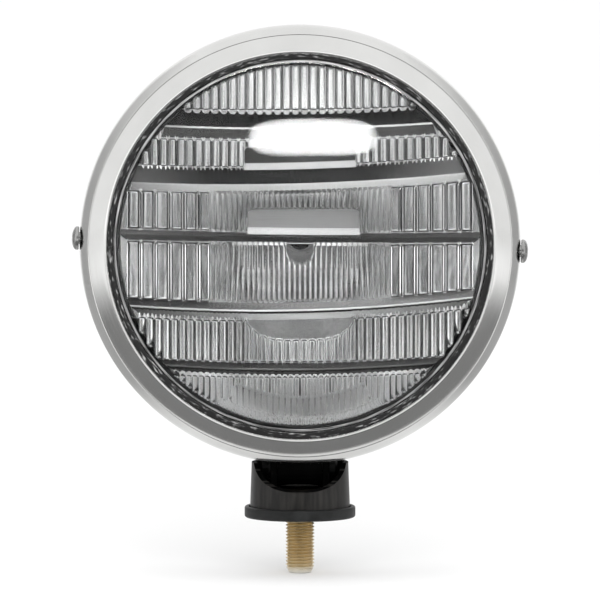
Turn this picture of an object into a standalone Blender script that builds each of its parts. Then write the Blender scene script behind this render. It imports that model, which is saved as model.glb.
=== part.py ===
"""Round fog light with a louvred glass front, on a swivelling stud mount.

World frame: metres, +Z up, lamp facing -Y. The origin is where the axis of the mounting
stud meets the flat underside of the rubber pad.

Lamp frame: the empty "lamp_frame" stands on the lamp's axis at the front of the rim.
Its X is the world's X, its Y points up and its Z points forwards, out of the lamp.
Inside the lamp a place is given by its radius from the axis and its depth behind the
front of the rim, so depth is minus Z. Every size below is in millimetres.
"""
import math

import bmesh
import bpy
from mathutils import Vector

MM = 0.001
GAP = 0.3                       # left between two pieces that touch
ROUND_SEGMENTS = 48             # large turned pieces
MOUNT_SEGMENTS = 32             # turned pieces of the mount
SMALL_SEGMENTS = 16             # screws, bores and small turned pieces

# Where the lamp stands on its mount
AXIS_HEIGHT = 108.0             # lamp axis above the mounting face
RIM_FRONT_Y = -38.0             # front of the rim, ahead of the stud's axis
PIVOT_HEIGHT = 19.5             # tilt axis above the mounting face

# Rim
RIM_RADIUS = 85.0
RIM_INNER_RADIUS = 74.3
RIM_DEPTH = 20.0
RIM_THICKNESS = 1.0
RIM_BACK_RADIUS = 84.25
LIP_CENTRE = (75.5, 1.5)        # the rolled inner lip, as (radius, depth)
LIP_RADIUS = 1.2
LIP_INSIDE_CENTRE = (76.3, 2.6)
LIP_INSIDE_RADIUS = 1.0
LIP_END_DEPTH = 4.6
CROWN = [(76.1, 0.5), (78.9, 1.95), (81.3, 3.75), (81.5, 4.2)]      # sloping front, down to a small step
CROWN_INSIDE = [(80.6, 4.6), (78.4, 3.1)]
SHOULDER_RADIUS = 11.3          # the side curves from 45 degrees to straight back
SHOULDER_CENTRE = (RIM_RADIUS - SHOULDER_RADIUS, 12.2)
SCREW_ROLL = math.radians(-1.7)     # the two side screws sit a little off level
SIDE_SCREW_DEPTH = 12.0

# Glass
GLASS_DOME_RADIUS = 220.0
GLASS_THICKNESS = 3.2
GLASS_FRONT_DEPTH = -6.0
GLASS_DOME_EDGE = 71.8
GLASS_EDGE_RADIUS = 76.0
GLASS_EDGE_FRONT = 6.0
GLASS_EDGE_BACK = GLASS_EDGE_FRONT + GLASS_THICKNESS
GLASS_INNER_RADIUS = 70.6       # the domed part of its back

# Seal round the edge of the glass
SEAL_INNER_RADIUS = 72.2
SEAL_OUTER_RADIUS = 77.2
SEAL_FRONT_DEPTH = 4.9
SEAL_BACK_DEPTH = 12.9
SEAL_LIP_BEVEL = 0.3
SEAL_REAR_RADIUS = 73.2         # inside of the leg behind the glass

# Louvers: heights are above the lamp's axis
LOUVER_RADIUS = 69.2            # circle on which the louvers end
LOUVER_THICKNESS = 1.0
LOUVER_CLEARANCE = 0.7          # behind the glass, at the fold
LOUVER_STATIONS = 20
UPPER_SLOPE = 0.55              # how far the upper facet leans back for its height
LOWER_SLOPE = 0.60
MITRE = 0.04                    # how much shorter the lower edge is, as a share of its length
LOUVERS = {                     # name: (top, fold, bottom, sag of the middle, roll in degrees)
    "louver_1": (51.6, 45.4, 41.1, 1.0, 0.6),
    "louver_2": (30.5, 24.5, 21.5, 1.7, 1.6),
    "louver_3": (5.7, 4.0, 1.3, 0.0, -0.5),
    "louver_4": (-20.8, -24.1, -27.8, 2.4, 1.4),
    "louver_5": (-44.7, -47.3, -50.0, 1.6, 0.5),
}
TABS = {                        # louver it stands on: (middle, width, top of the tab)
    "louver_2": (0.0, 43.0, 38.3),
    "louver_3": (1.4, 43.0, 14.7),
}
TAB_THICKNESS = 0.8
TAB_CORNER = 2.5
FRAME_INNER_RADIUS = 69.6
FRAME_WALL = 1.0
FRAME_OUTER_RADIUS = 75.8
FRAME_FRONT_DEPTH = 9.8
FRAME_BACK_DEPTH = 14.2

# Reflector: a paraboloid
FOCAL_LENGTH = 22.0
REFLECTOR_VERTEX_DEPTH = 70.4
REFLECTOR_RADIUS = 69.5
REFLECTOR_THICKNESS = 0.9
REFLECTOR_FLANGE_RADIUS = 76.6
REFLECTOR_FLANGE_ROOT = 71.2    # where the flange meets the back of the shell
REFLECTOR_FRONT_DEPTH = FRAME_BACK_DEPTH + GAP
NECK_RADIUS = 14.0
NECK_BACK_DEPTH = 70.0
CLIP_INNER_RADIUS = 74.6        # the spring clips, bent from one strip
CLIP_OUTER_RADIUS = 81.1
CLIP_FRONT_DEPTH = 7.0
CLIP_BACK_DEPTH = 16.5
CLIP_THICKNESS = 0.8
CLIP_HALF_WIDTH = 5.0
CLIP_TURNS = (45, 135, 225, 315)

# Bulb
CAPSULE_RADIUS = 4.8
CAPSULE_WALL = 0.8
CAPSULE_TIP_DEPTH = 41.5
FILAMENT_DEPTH = REFLECTOR_VERTEX_DEPTH - FOCAL_LENGTH
BULB_FLANGE_DEPTH = 68.3
BULB_FLANGE_RADIUS = 9.1
BULB_HUB_RADIUS = 5.5
BULB_HUB_FRONT = 64.0
BULB_HUB_BACK = 76.0
BULB_FLANGE_BACK = 70.9
HOLDER_INNER_RADIUS = 7.2
HOLDER_SEAT_THICKNESS = 1.3
HOLDER_CUP_RADIUS = 9.8         # round the bulb's flange
HOLDER_NECK_RADIUS = 13.7
HOLDER_FLANGE_RADIUS = 17.5
HOLDER_BACK_DEPTH = 71.3
COIL_RADIUS = 0.7               # filament
COIL_HALF_LENGTH = 2.6
COIL_TURNS = 6
FILAMENT_WIRE_RADIUS = 0.18
HAIRPIN_HALF_WIDTH = 6.6        # spring clip behind the bulb
HAIRPIN_TOP = 12.0
HAIRPIN_END = -15.0
HAIRPIN_WIRE_RADIUS = 0.6
BLADE_HALF_WIDTH = 3.15         # 6.3 mm terminal
BLADE_HALF_THICKNESS = 0.4
BLADE_LENGTH = 8.0

# Housing: a bowl with an elliptic section behind a short straight wall
HOUSING_RADIUS = 82.6
HOUSING_WALL = 1.0
HOUSING_FRONT_DEPTH = 9.5
BOWL_START_DEPTH = 20.0
BOWL_LENGTH = 70.0
GROMMET_DEPTH = 72.0
GROMMET_HOLE_RADIUS = 5.0
GROMMET_BORE_RADIUS = 2.4
GROMMET_FLANGE_RADIUS = 6.6
GROMMET_NOSE_RADIUS = 5.4
GROMMET_HALF_LENGTH = (3.4, 3.6)    # inside and outside the bowl

# Fasteners
SIDE_SCREW_HEAD_RADIUS = 4.55
SIDE_SCREW_HEAD_HEIGHT = 2.75
SIDE_SCREW_SHANK_RADIUS = 2.4
SIDE_SCREW_STAND = 0.25         # head above the rim's widest circle
SIDE_SCREW_BRIM = 0.8           # straight edge under the head's dome
RECESS_HALF_LENGTH = 1.75
RECESS_HALF_WIDTH = 0.42
RECESS_FLOOR = 1.9              # above the head's seat
SIDE_NUT_HALF = 4.4
SIDE_NUT_THICKNESS = 2.6
SIDE_NUT_STAND = 0.35           # more room for the flat nut against the round wall
BRACKET_SCREW_RADIUS = 2.0
BRACKET_SCREW_X = 11.5
BRACKET_SCREW_Y = 3.0
BRACKET_HEAD_RADIUS = 3.8
BRACKET_HEAD_HEIGHT = 2.5
BACKING_LOW = (-16.0, -6.0, 30.0)   # box that the backing plate is cut from, above the mounting face
BACKING_HIGH = (16.0, 11.0, 34.6)
PIVOT_BOLT_RADIUS = 2.5
PIVOT_BOLT_HEAD_RADIUS = 4.2
PIVOT_BOLT_HEAD_HEIGHT = 2.8
PIVOT_BOLT_END = -14.8
PIVOT_NUT_ACROSS = 8.0
PIVOT_NUT_END = -14.6
PIVOT_WASHER_RADIUS = 4.6
PIVOT_WASHER_THICKNESS = 0.6

# Mount
PAD_RADIUS = 21.5
PAD_HEIGHT = 4.4
PAD_FLOOR = 2.2
CUP_BOTTOM_RADIUS = 19.45
CUP_TOP_RADIUS = 18.75
CUP_WALL = 1.7
CUP_TOP = 21.5
CUP_FLOOR = PAD_FLOOR + GAP
CUP_FLOOR_THICKNESS = 1.6
SCOOP_RADIUS = 37.0             # relief in the front of the cup, turned about X
SCOOP_Y = -34.0
SCOOP_Z = 44.9
STUD_RADIUS = 5.555             # 7/16 inch
STUD_LENGTH = 21.5
STUD_TIP_RADIUS = 4.25
STUD_CHAMFER = 2.7
STUD_HEAD_RADIUS = 8.4
STUD_HEAD_BOTTOM = 8.3
STUD_HEAD_TOP = 12.0
YOKE_BASE_RADIUS = 15.2
YOKE_BASE_BOTTOM = CUP_FLOOR + CUP_FLOOR_THICKNESS + GAP
YOKE_BASE_TOP = 7.0
YOKE_EAR_INSIDE = 8.9
YOKE_EAR_THICKNESS = 2.5
YOKE_EAR_RADIUS = 5.5
KNUCKLE_HALF_WIDTH = 8.5
KNUCKLE_RADIUS = 6.5
SADDLE_HALF_WIDTH = 15.0
SADDLE_FRONT = -7.0
SADDLE_BACK = 11.0
SADDLE_BOTTOM = 25.5
SADDLE_BLANK = 12.0             # height of the block that the bowl is cut out of
NECK_HALF_DEPTH = 5.0
NECK_STEP = 0.2                 # the neck's sides, in from the tongue's


# ---------------------------------------------------------------- helpers

def clear_scene():
    for old in list(bpy.data.objects):
        bpy.data.objects.remove(old, do_unlink=True)


def material(name, colour, roughness, metallic, transmission=0.0):
    made = bpy.data.materials.new(name)
    made.use_nodes = True
    shader = made.node_tree.nodes["Principled BSDF"]
    shader.inputs["Base Color"].default_value = (*colour, 1.0)
    shader.inputs["Roughness"].default_value = roughness
    shader.inputs["Metallic"].default_value = metallic
    shader.inputs["Transmission Weight"].default_value = transmission
    made.diffuse_color = (*colour, 1.0)
    return made


def empty(name, location, rotation=(0.0, 0.0, 0.0), parent=None):
    made = bpy.data.objects.new(name, None)
    made.location = Vector(location) * MM
    made.rotation_euler = rotation
    made.parent = parent
    bpy.context.collection.objects.link(made)
    return made


def piece(name, bm, finish, parent=None, location=(0.0, 0.0, 0.0), rotation=(0.0, 0.0, 0.0)):
    """Turn a bmesh drawn in millimetres into a named object."""
    bmesh.ops.recalc_face_normals(bm, faces=bm.faces)
    bmesh.ops.scale(bm, vec=(MM, MM, MM), verts=bm.verts)
    mesh = bpy.data.meshes.new(name)
    bm.to_mesh(mesh)
    bm.free()
    mesh.materials.append(finish)
    mesh.shade_smooth()
    mesh.set_sharp_from_angle(angle=math.radians(35))
    made = bpy.data.objects.new(name, mesh)
    made.location = Vector(location) * MM
    made.rotation_euler = rotation
    made.parent = parent
    bpy.context.collection.objects.link(made)
    return made


def wire(name, points, radius, finish, parent):
    """A round wire along points given in millimetres."""
    curve = bpy.data.curves.new(name, "CURVE")
    curve.dimensions = "3D"
    curve.bevel_depth = radius * MM
    curve.bevel_resolution = 1
    curve.use_fill_caps = True
    spline = curve.splines.new("POLY")
    spline.points.add(len(points) - 1)
    for target, point in zip(spline.points, points):
        target.co = (*(Vector(point) * MM), 1.0)
    curve.materials.append(finish)
    made = bpy.data.objects.new(name, curve)
    made.parent = parent
    bpy.context.collection.objects.link(made)
    return made


def combine(target, other, operation):
    """Boolean the other object into the target and keep it only as a guide."""
    other.hide_render = True
    other.display_type = "WIRE"
    step = target.modifiers.new(f"{operation.lower()}_{other.name}", "BOOLEAN")
    step.operation = operation
    step.solver = "EXACT"
    step.object = other


def turned(outline, segments=ROUND_SEGMENTS):
    """A solid turned about Z from a closed outline of (radius, height) points."""
    bm = bmesh.new()
    rings = []
    for radius, height in outline:
        count = segments if radius > 0 else 1
        turns = [2 * math.pi * step / segments for step in range(count)]
        rings.append([bm.verts.new((radius * math.cos(turn), radius * math.sin(turn), height))
                      for turn in turns])
    for ring, following in zip(rings, rings[1:] + rings[:1]):
        for step in range(segments):
            after = (step + 1) % segments
            corners = [ring[step % len(ring)], ring[after % len(ring)],
                       following[after % len(following)], following[step % len(following)]]
            corners = list(dict.fromkeys(corners))
            if len(corners) > 2:
                bm.faces.new(corners)
    return bm


def behind(outline):
    """Change an outline of (radius, depth) into (radius, height) in the lamp frame."""
    return [(radius, -depth) for radius, depth in outline]


def skinned(sections):
    """A closed solid through equal loops of points, with a cap on each end."""
    bm = bmesh.new()
    loops = [[bm.verts.new(point) for point in section] for section in sections]
    for loop, following in zip(loops, loops[1:]):
        for index in range(len(loop)):
            after = (index + 1) % len(loop)
            bm.faces.new((loop[index], loop[after], following[after], following[index]))
    bm.faces.new(loops[0])
    bm.faces.new(loops[-1])
    return bm


def prism(outline, low, high):
    """An XY outline carried from one Z to another."""
    return skinned([[(x, y, height) for x, y in outline] for height in (low, high)])


def block(low, high):
    corners = [(low[0], low[1]), (high[0], low[1]), (high[0], high[1]), (low[0], high[1])]
    return prism(corners, low[2], high[2])


def cylinder(radius, low, high, segments=SMALL_SEGMENTS):
    return turned([(0.0, low), (radius, low), (radius, high), (0.0, high)], segments)


def arc(centre, radius, start, end, steps):
    """Points on an arc, with the angles in degrees."""
    turns = [math.radians(start + (end - start) * step / steps) for step in range(steps + 1)]
    return [(centre[0] + radius * math.cos(turn), centre[1] + radius * math.sin(turn))
            for turn in turns]


def hexagon(across_flats):
    return arc((0.0, 0.0), across_flats / math.sqrt(3), 30, 330, 5)


# ---------------------------------------------------------------- curves that pieces share

def glass_inner_depth(radius):
    """Depth of the back of the glass at a distance from the axis."""
    inner = GLASS_DOME_RADIUS - GLASS_THICKNESS
    return GLASS_FRONT_DEPTH + GLASS_THICKNESS + inner - math.sqrt(inner ** 2 - radius ** 2)


def glass_outer_depth(radius):
    outer = GLASS_DOME_RADIUS
    return GLASS_FRONT_DEPTH + outer - math.sqrt(outer ** 2 - radius ** 2)


def reflector_depth(radius):
    return REFLECTOR_VERTEX_DEPTH - radius ** 2 / (4 * FOCAL_LENGTH)


def bowl_arc(inset, steps=9):
    """(radius, depth) down the bowl from its straight wall to its back, inset from the outside."""
    points = []
    for step in range(steps + 1):
        turn = 0.5 * math.pi * step / steps
        radius = 0.0 if step == steps else (HOUSING_RADIUS - inset) * math.cos(turn)
        points.append((radius, BOWL_START_DEPTH + (BOWL_LENGTH - inset) * math.sin(turn)))
    return points


def bowl_solid(inset):
    """The bowl as a filled shape, for fitting pieces against its outside or its inside."""
    return turned(behind([(0.0, HOUSING_FRONT_DEPTH), (HOUSING_RADIUS - inset, HOUSING_FRONT_DEPTH)]
                         + bowl_arc(inset)))


# ---------------------------------------------------------------- lamp

def make_rim(lamp, finish):
    lip = arc(LIP_CENTRE, LIP_RADIUS, 180, 270, 3)
    shoulder = arc(SHOULDER_CENTRE, SHOULDER_RADIUS, -45, 0, 4)
    shoulder_inside = arc(SHOULDER_CENTRE, SHOULDER_RADIUS - RIM_THICKNESS, 0, -45, 3)
    lip_inside = arc(LIP_INSIDE_CENTRE, LIP_INSIDE_RADIUS, 270, 180, 2)
    outside = [(RIM_INNER_RADIUS, LIP_END_DEPTH)] + lip + CROWN + shoulder + [(RIM_BACK_RADIUS, RIM_DEPTH)]
    inside = ([(RIM_BACK_RADIUS - RIM_THICKNESS, RIM_DEPTH)] + shoulder_inside + CROWN_INSIDE + lip_inside
              + [(RIM_INNER_RADIUS + RIM_THICKNESS, LIP_END_DEPTH)])
    return piece("rim", turned(behind(outside + inside)), finish, lamp)


def make_lens(lamp, finish):
    rings = 7
    shares = [step / rings for step in range(rings + 1)]
    outside = [(GLASS_DOME_EDGE * share, glass_outer_depth(GLASS_DOME_EDGE * share)) for share in shares]
    inside = [(GLASS_INNER_RADIUS * share, glass_inner_depth(GLASS_INNER_RADIUS * share))
              for share in reversed(shares)]
    edge = [(GLASS_EDGE_RADIUS, GLASS_EDGE_FRONT), (GLASS_EDGE_RADIUS, GLASS_EDGE_BACK)]
    return piece("lens", turned(behind(outside + edge + inside)), finish, lamp)


def make_lens_seal(lamp, finish):
    """A channel of rubber that grips the edge of the glass."""
    web = GLASS_EDGE_RADIUS + GAP
    front_leg = GLASS_EDGE_FRONT - GAP
    rear_leg = GLASS_EDGE_BACK + GAP
    outline = [(SEAL_INNER_RADIUS, front_leg), (SEAL_INNER_RADIUS + SEAL_LIP_BEVEL, SEAL_FRONT_DEPTH),
               (SEAL_OUTER_RADIUS, SEAL_FRONT_DEPTH), (SEAL_OUTER_RADIUS, SEAL_BACK_DEPTH),
               (SEAL_REAR_RADIUS, SEAL_BACK_DEPTH), (SEAL_REAR_RADIUS, rear_leg), (web, rear_leg),
               (web, front_leg)]
    return piece("lens_seal", turned(behind(outline)), finish, lamp)


def make_louver_frame(lamp, finish):
    wall = FRAME_INNER_RADIUS + FRAME_WALL
    flange = FRAME_BACK_DEPTH - FRAME_WALL
    outline = [(FRAME_INNER_RADIUS, FRAME_FRONT_DEPTH), (wall, FRAME_FRONT_DEPTH), (wall, flange),
               (FRAME_OUTER_RADIUS, flange), (FRAME_OUTER_RADIUS, FRAME_BACK_DEPTH),
               (FRAME_INNER_RADIUS, FRAME_BACK_DEPTH)]
    return piece("louver_frame", turned(behind(outline)), finish, lamp)


def louver_end(height, sag, roll, side):
    """Where a line of the louver at this height meets the circle on which the louvers end."""
    x = side * LOUVER_RADIUS
    for _ in range(12):
        x = side * math.sqrt(LOUVER_RADIUS ** 2 - (height + sag + x * math.tan(roll)) ** 2)
    return x


def louver_section(along, top, fold, bottom, sag, roll):
    """The folded strip's outline at one place along it, from -1 at its left end to 1."""
    front, back = [], []
    for height, slope, mitre in ((top, UPPER_SLOPE, 0.0), (fold, 0.0, 0.0), (bottom, LOWER_SLOPE, MITRE)):
        left, right = (louver_end(height, sag, roll, side) for side in (-1, 1))
        x = 0.5 * (left + right) + 0.5 * (right - left) * along * (1.0 - mitre)
        y = height + sag * along ** 2 + x * math.tan(roll)
        depth = glass_inner_depth(math.hypot(x, y)) + LOUVER_CLEARANCE + slope * abs(height - fold)
        front.append((x, y, -depth))
        back.append((x, y, -depth - LOUVER_THICKNESS))
    return front + back[::-1]


def make_louver(name, lamp, finish):
    top, fold, bottom, sag, roll = LOUVERS[name]
    roll = math.radians(roll)
    places = [2 * step / LOUVER_STATIONS - 1 for step in range(LOUVER_STATIONS + 1)]
    sections = [louver_section(along, top, fold, bottom, sag, roll) for along in places]
    louver = piece(name, skinned(sections), finish, lamp)
    if name in TABS:
        combine(louver, make_tab(name, finish, lamp), "UNION")
    return louver


def make_tab(name, finish, lamp):
    """The upright tab on a louver, which hides the bulb from the front."""
    middle, width, tab_top = TABS[name]
    top, fold, _, sag, roll = LOUVERS[name]
    slant = math.tan(math.radians(roll))
    corner_steps = 3
    insets = [TAB_CORNER * (1 - math.cos(0.5 * math.pi * step / corner_steps))
              for step in range(corner_steps + 1)]
    offsets = [width / 2 - inset for inset in insets] + [width / 4, 0.0]
    loops = []
    for offset in sorted({side * offset for offset in offsets for side in (-1, 1)}):
        x = middle + offset
        past = max(0.0, abs(offset) - (width / 2 - TAB_CORNER))
        height = tab_top - TAB_CORNER + math.sqrt(max(0.0, TAB_CORNER ** 2 - past ** 2))
        edge = top + sag * (x / LOUVER_RADIUS) ** 2 + x * slant
        depth = glass_inner_depth(math.hypot(x, edge)) + LOUVER_CLEARANCE + 0.1
        depth += UPPER_SLOPE * (top - fold)
        foot = edge - 0.6
        loops.append([(x, height, -depth), (x, foot, -depth),
                      (x, foot, -depth - TAB_THICKNESS), (x, height, -depth - TAB_THICKNESS)])
    return piece(f"{name}_tab", skinned(loops), finish, lamp)


def make_reflector(lamp, finish):
    steps = 7
    radii = [NECK_RADIUS + (REFLECTOR_RADIUS - NECK_RADIUS) * step / steps for step in range(steps + 1)]
    inside = [(radius, reflector_depth(radius)) for radius in radii]
    outside = []
    for radius in reversed(radii):
        lean = math.atan(radius / (2 * FOCAL_LENGTH))
        outside.append((radius + REFLECTOR_THICKNESS * math.sin(lean),
                        reflector_depth(radius) + REFLECTOR_THICKNESS * math.cos(lean)))
    flange_back = REFLECTOR_FRONT_DEPTH + REFLECTOR_THICKNESS
    flange = [(REFLECTOR_RADIUS, REFLECTOR_FRONT_DEPTH), (REFLECTOR_FLANGE_RADIUS, REFLECTOR_FRONT_DEPTH),
              (REFLECTOR_FLANGE_RADIUS, flange_back), (REFLECTOR_FLANGE_ROOT, flange_back)]
    neck = [(NECK_RADIUS + REFLECTOR_THICKNESS, NECK_BACK_DEPTH), (NECK_RADIUS, NECK_BACK_DEPTH)]
    return piece("reflector", turned(behind(inside + flange + outside[1:] + neck)), finish, lamp)


def make_reflector_clips(lamp, finish):
    """Spring clips that press the reflector and glass into the rim."""
    bend_radius = CLIP_OUTER_RADIUS - CLIP_THICKNESS
    bend_depth = CLIP_BACK_DEPTH - CLIP_THICKNESS
    profile = [(CLIP_INNER_RADIUS, bend_depth), (bend_radius, bend_depth), (bend_radius, CLIP_FRONT_DEPTH),
               (CLIP_OUTER_RADIUS, CLIP_FRONT_DEPTH), (CLIP_OUTER_RADIUS, CLIP_BACK_DEPTH),
               (CLIP_INNER_RADIUS, CLIP_BACK_DEPTH)]
    sections = [[(radius, side, -depth) for radius, depth in profile]
                for side in (-CLIP_HALF_WIDTH, CLIP_HALF_WIDTH)]
    for index, turn in enumerate(CLIP_TURNS, start=1):
        piece(f"reflector_clip_{index}", skinned(sections), finish, lamp,
              rotation=(0.0, 0.0, math.radians(turn)))


def make_bulb_holder(lamp, steel):
    """Turned seat for the bulb, in the neck of the reflector."""
    seat = BULB_FLANGE_DEPTH - GAP
    front = seat - HOLDER_SEAT_THICKNESS
    neck_end = NECK_BACK_DEPTH + GAP
    outline = [(HOLDER_INNER_RADIUS, front), (HOLDER_NECK_RADIUS, front), (HOLDER_NECK_RADIUS, neck_end),
               (HOLDER_FLANGE_RADIUS, neck_end), (HOLDER_FLANGE_RADIUS, HOLDER_BACK_DEPTH),
               (HOLDER_CUP_RADIUS, HOLDER_BACK_DEPTH), (HOLDER_CUP_RADIUS, seat), (HOLDER_INNER_RADIUS, seat)]
    piece("bulb_holder", turned(behind(outline), SMALL_SEGMENTS), steel, lamp)


def make_bulb_base(lamp, steel):
    outline = [(0.0, BULB_HUB_FRONT), (BULB_HUB_RADIUS, BULB_HUB_FRONT),
               (BULB_HUB_RADIUS, BULB_FLANGE_DEPTH), (BULB_FLANGE_RADIUS, BULB_FLANGE_DEPTH),
               (BULB_FLANGE_RADIUS, BULB_FLANGE_BACK), (BULB_HUB_RADIUS, BULB_FLANGE_BACK),
               (BULB_HUB_RADIUS, BULB_HUB_BACK), (0.0, BULB_HUB_BACK)]
    piece("bulb_base", turned(behind(outline), SMALL_SEGMENTS), steel, lamp)


def make_bulb_capsule(lamp, glass):
    """Glass tube with a round tip, open where it meets its base."""
    inner = CAPSULE_RADIUS - CAPSULE_WALL
    tip = CAPSULE_TIP_DEPTH + CAPSULE_RADIUS
    open_end = BULB_HUB_FRONT - GAP
    outer_tip = arc((0.0, tip), CAPSULE_RADIUS, 360, 270, 5)[:-1] + [(0.0, CAPSULE_TIP_DEPTH)]
    inner_tip = [(0.0, tip - inner)] + arc((0.0, tip), inner, 270, 360, 4)[1:]
    outline = [(CAPSULE_RADIUS, open_end)] + outer_tip + inner_tip + [(inner, open_end)]
    piece("bulb_capsule", turned(behind(outline), SMALL_SEGMENTS), glass, lamp)


def make_bulb_filament(lamp, tungsten):
    """A coil across the bulb at the reflector's focus, on two posts."""
    steps = COIL_TURNS * 8
    post_end = -(BULB_HUB_FRONT - GAP - 0.2)
    points = [(-COIL_HALF_LENGTH, -COIL_RADIUS, post_end)]
    for step in range(steps + 1):
        turn = 2 * math.pi * COIL_TURNS * step / steps - 0.5 * math.pi
        points.append((COIL_HALF_LENGTH * (2 * step / steps - 1), COIL_RADIUS * math.sin(turn),
                       COIL_RADIUS * math.cos(turn) - FILAMENT_DEPTH))
    points.append((COIL_HALF_LENGTH, -COIL_RADIUS, post_end))
    wire("bulb_filament", points, FILAMENT_WIRE_RADIUS, tungsten, lamp)


def make_bulb_clip(lamp, steel):
    """Hairpin spring that holds the bulb in its seat."""
    depth = HOLDER_BACK_DEPTH + GAP + HAIRPIN_WIRE_RADIUS
    loop = arc((0.0, HAIRPIN_TOP), HAIRPIN_HALF_WIDTH, 180, 0, 8)
    hairpin = [(-HAIRPIN_HALF_WIDTH, HAIRPIN_END)] + loop + [(HAIRPIN_HALF_WIDTH, HAIRPIN_END)]
    wire("bulb_clip", [(x, y, -depth) for x, y in hairpin], HAIRPIN_WIRE_RADIUS, steel, lamp)


def make_bulb_terminal(lamp, brass):
    front = BULB_HUB_BACK + GAP
    blade = block((-BLADE_HALF_WIDTH, -BLADE_HALF_THICKNESS, -front - BLADE_LENGTH),
                  (BLADE_HALF_WIDTH, BLADE_HALF_THICKNESS, -front))
    piece("bulb_terminal", blade, brass, lamp)


def make_housing(lamp, finish):
    inner = HOUSING_RADIUS - HOUSING_WALL
    outside = [(HOUSING_RADIUS, HOUSING_FRONT_DEPTH)] + bowl_arc(0.0)
    inside = list(reversed(bowl_arc(HOUSING_WALL))) + [(inner, HOUSING_FRONT_DEPTH)]
    return piece("housing", turned(behind(outside + inside)), finish, lamp)


def make_grommet(lamp, housing, finish):
    """Rubber grommet low on the back of the bowl, where the lead leaves."""
    across = (GROMMET_DEPTH - BOWL_START_DEPTH) / BOWL_LENGTH
    radius = HOUSING_RADIUS * math.sqrt(1 - across ** 2)
    lean = math.atan2(across / BOWL_LENGTH, radius / HOUSING_RADIUS ** 2)
    waist = GROMMET_HOLE_RADIUS - GAP
    groove_inside = -HOUSING_WALL - 1.2      # clear of the wall, which curves away under the flange
    groove_outside = 0.5
    inside, outside = GROMMET_HALF_LENGTH
    outline = [(GROMMET_BORE_RADIUS, -inside), (GROMMET_FLANGE_RADIUS, -inside),
               (GROMMET_FLANGE_RADIUS, groove_inside), (waist, groove_inside), (waist, groove_outside),
               (GROMMET_FLANGE_RADIUS, groove_outside), (GROMMET_NOSE_RADIUS, outside),
               (GROMMET_BORE_RADIUS, outside)]
    place = dict(location=(0.0, -radius, -GROMMET_DEPTH), rotation=(0.5 * math.pi + lean, 0.0, 0.0))
    piece("cable_grommet", turned(outline, SMALL_SEGMENTS), finish, lamp, **place)
    hole = cylinder(GROMMET_HOLE_RADIUS, -6.0, 6.0)
    combine(housing, piece("grommet_hole", hole, finish, lamp, **place), "DIFFERENCE")


def side_screw_outline(seat):
    """Domed head on a plain shank, as (radius, distance from the lamp's axis)."""
    dome = SIDE_SCREW_HEAD_HEIGHT - SIDE_SCREW_BRIM
    tip = SEAL_OUTER_RADIUS + 0.7
    outline = [(0.0, seat + SIDE_SCREW_HEAD_HEIGHT)]
    for angle in (20, 40, 60, 78, 90):
        turn = math.radians(angle)
        height = seat + SIDE_SCREW_BRIM + dome * math.cos(turn)
        outline.append((SIDE_SCREW_HEAD_RADIUS * math.sin(turn), height))
    return outline + [(SIDE_SCREW_HEAD_RADIUS, seat), (SIDE_SCREW_SHANK_RADIUS, seat),
                      (SIDE_SCREW_SHANK_RADIUS, tip), (0.0, tip)]


def make_side_screws(lamp, rim, housing, chrome, steel):
    """Screws through the rim's skirt into square nuts inside the housing."""
    roll = empty("side_screw_line", (0.0, 0.0, -SIDE_SCREW_DEPTH), (0.0, 0.0, SCREW_ROLL), lamp)
    seat = RIM_RADIUS + SIDE_SCREW_STAND
    recess_floor = seat + RECESS_FLOOR
    recess_top = seat + SIDE_SCREW_HEAD_HEIGHT + 1.0
    nut_outside = HOUSING_RADIUS - HOUSING_WALL - GAP - SIDE_NUT_STAND
    nut_inside = nut_outside - SIDE_NUT_THICKNESS
    bore = SIDE_SCREW_SHANK_RADIUS + GAP
    for side, turn in (("left", -0.5 * math.pi), ("right", 0.5 * math.pi)):
        out = dict(rotation=(0.0, turn, 0.0), parent=roll)
        screw = piece(f"side_screw_{side}", turned(side_screw_outline(seat), SMALL_SEGMENTS), chrome, **out)
        for name, x, y in (("a", RECESS_HALF_LENGTH, RECESS_HALF_WIDTH),
                           ("b", RECESS_HALF_WIDTH, RECESS_HALF_LENGTH)):
            bar = block((-x, -y, recess_floor), (x, y, recess_top))
            combine(screw, piece(f"recess_{side}_{name}", bar, chrome, **out), "DIFFERENCE")
        nut_block = block((-SIDE_NUT_HALF, -SIDE_NUT_HALF, nut_inside),
                          (SIDE_NUT_HALF, SIDE_NUT_HALF, nut_outside))
        nut = piece(f"side_nut_{side}", nut_block, steel, **out)
        nut_bore = cylinder(bore, nut_inside - 2.0, nut_outside + 2.0)
        combine(nut, piece(f"side_nut_bore_{side}", nut_bore, steel, **out), "DIFFERENCE")
        drill = cylinder(bore, RIM_RADIUS - 13.0, RIM_RADIUS + 7.0)
        wall_hole = piece(f"side_hole_{side}", drill, steel, **out)
        combine(rim, wall_hole, "DIFFERENCE")
        combine(housing, wall_hole, "DIFFERENCE")


# ---------------------------------------------------------------- mount

ACROSS = (0.0, 0.5 * math.pi, 0.0)       # turns a piece drawn along Z so that it lies along X


def make_pad(root, rubber):
    """Rubber foot with a well that the cup turns in."""
    edge = 0.8
    lip = 0.6
    well = CUP_BOTTOM_RADIUS + 0.35
    hole = STUD_RADIUS + GAP
    outline = [(hole, 0.0), (PAD_RADIUS - edge, 0.0), (PAD_RADIUS, edge), (PAD_RADIUS, PAD_HEIGHT - edge),
               (PAD_RADIUS - lip, PAD_HEIGHT), (well, PAD_HEIGHT), (well, PAD_FLOOR), (hole, PAD_FLOOR)]
    piece("mount_pad", turned(outline, MOUNT_SEGMENTS), rubber, root)


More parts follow.
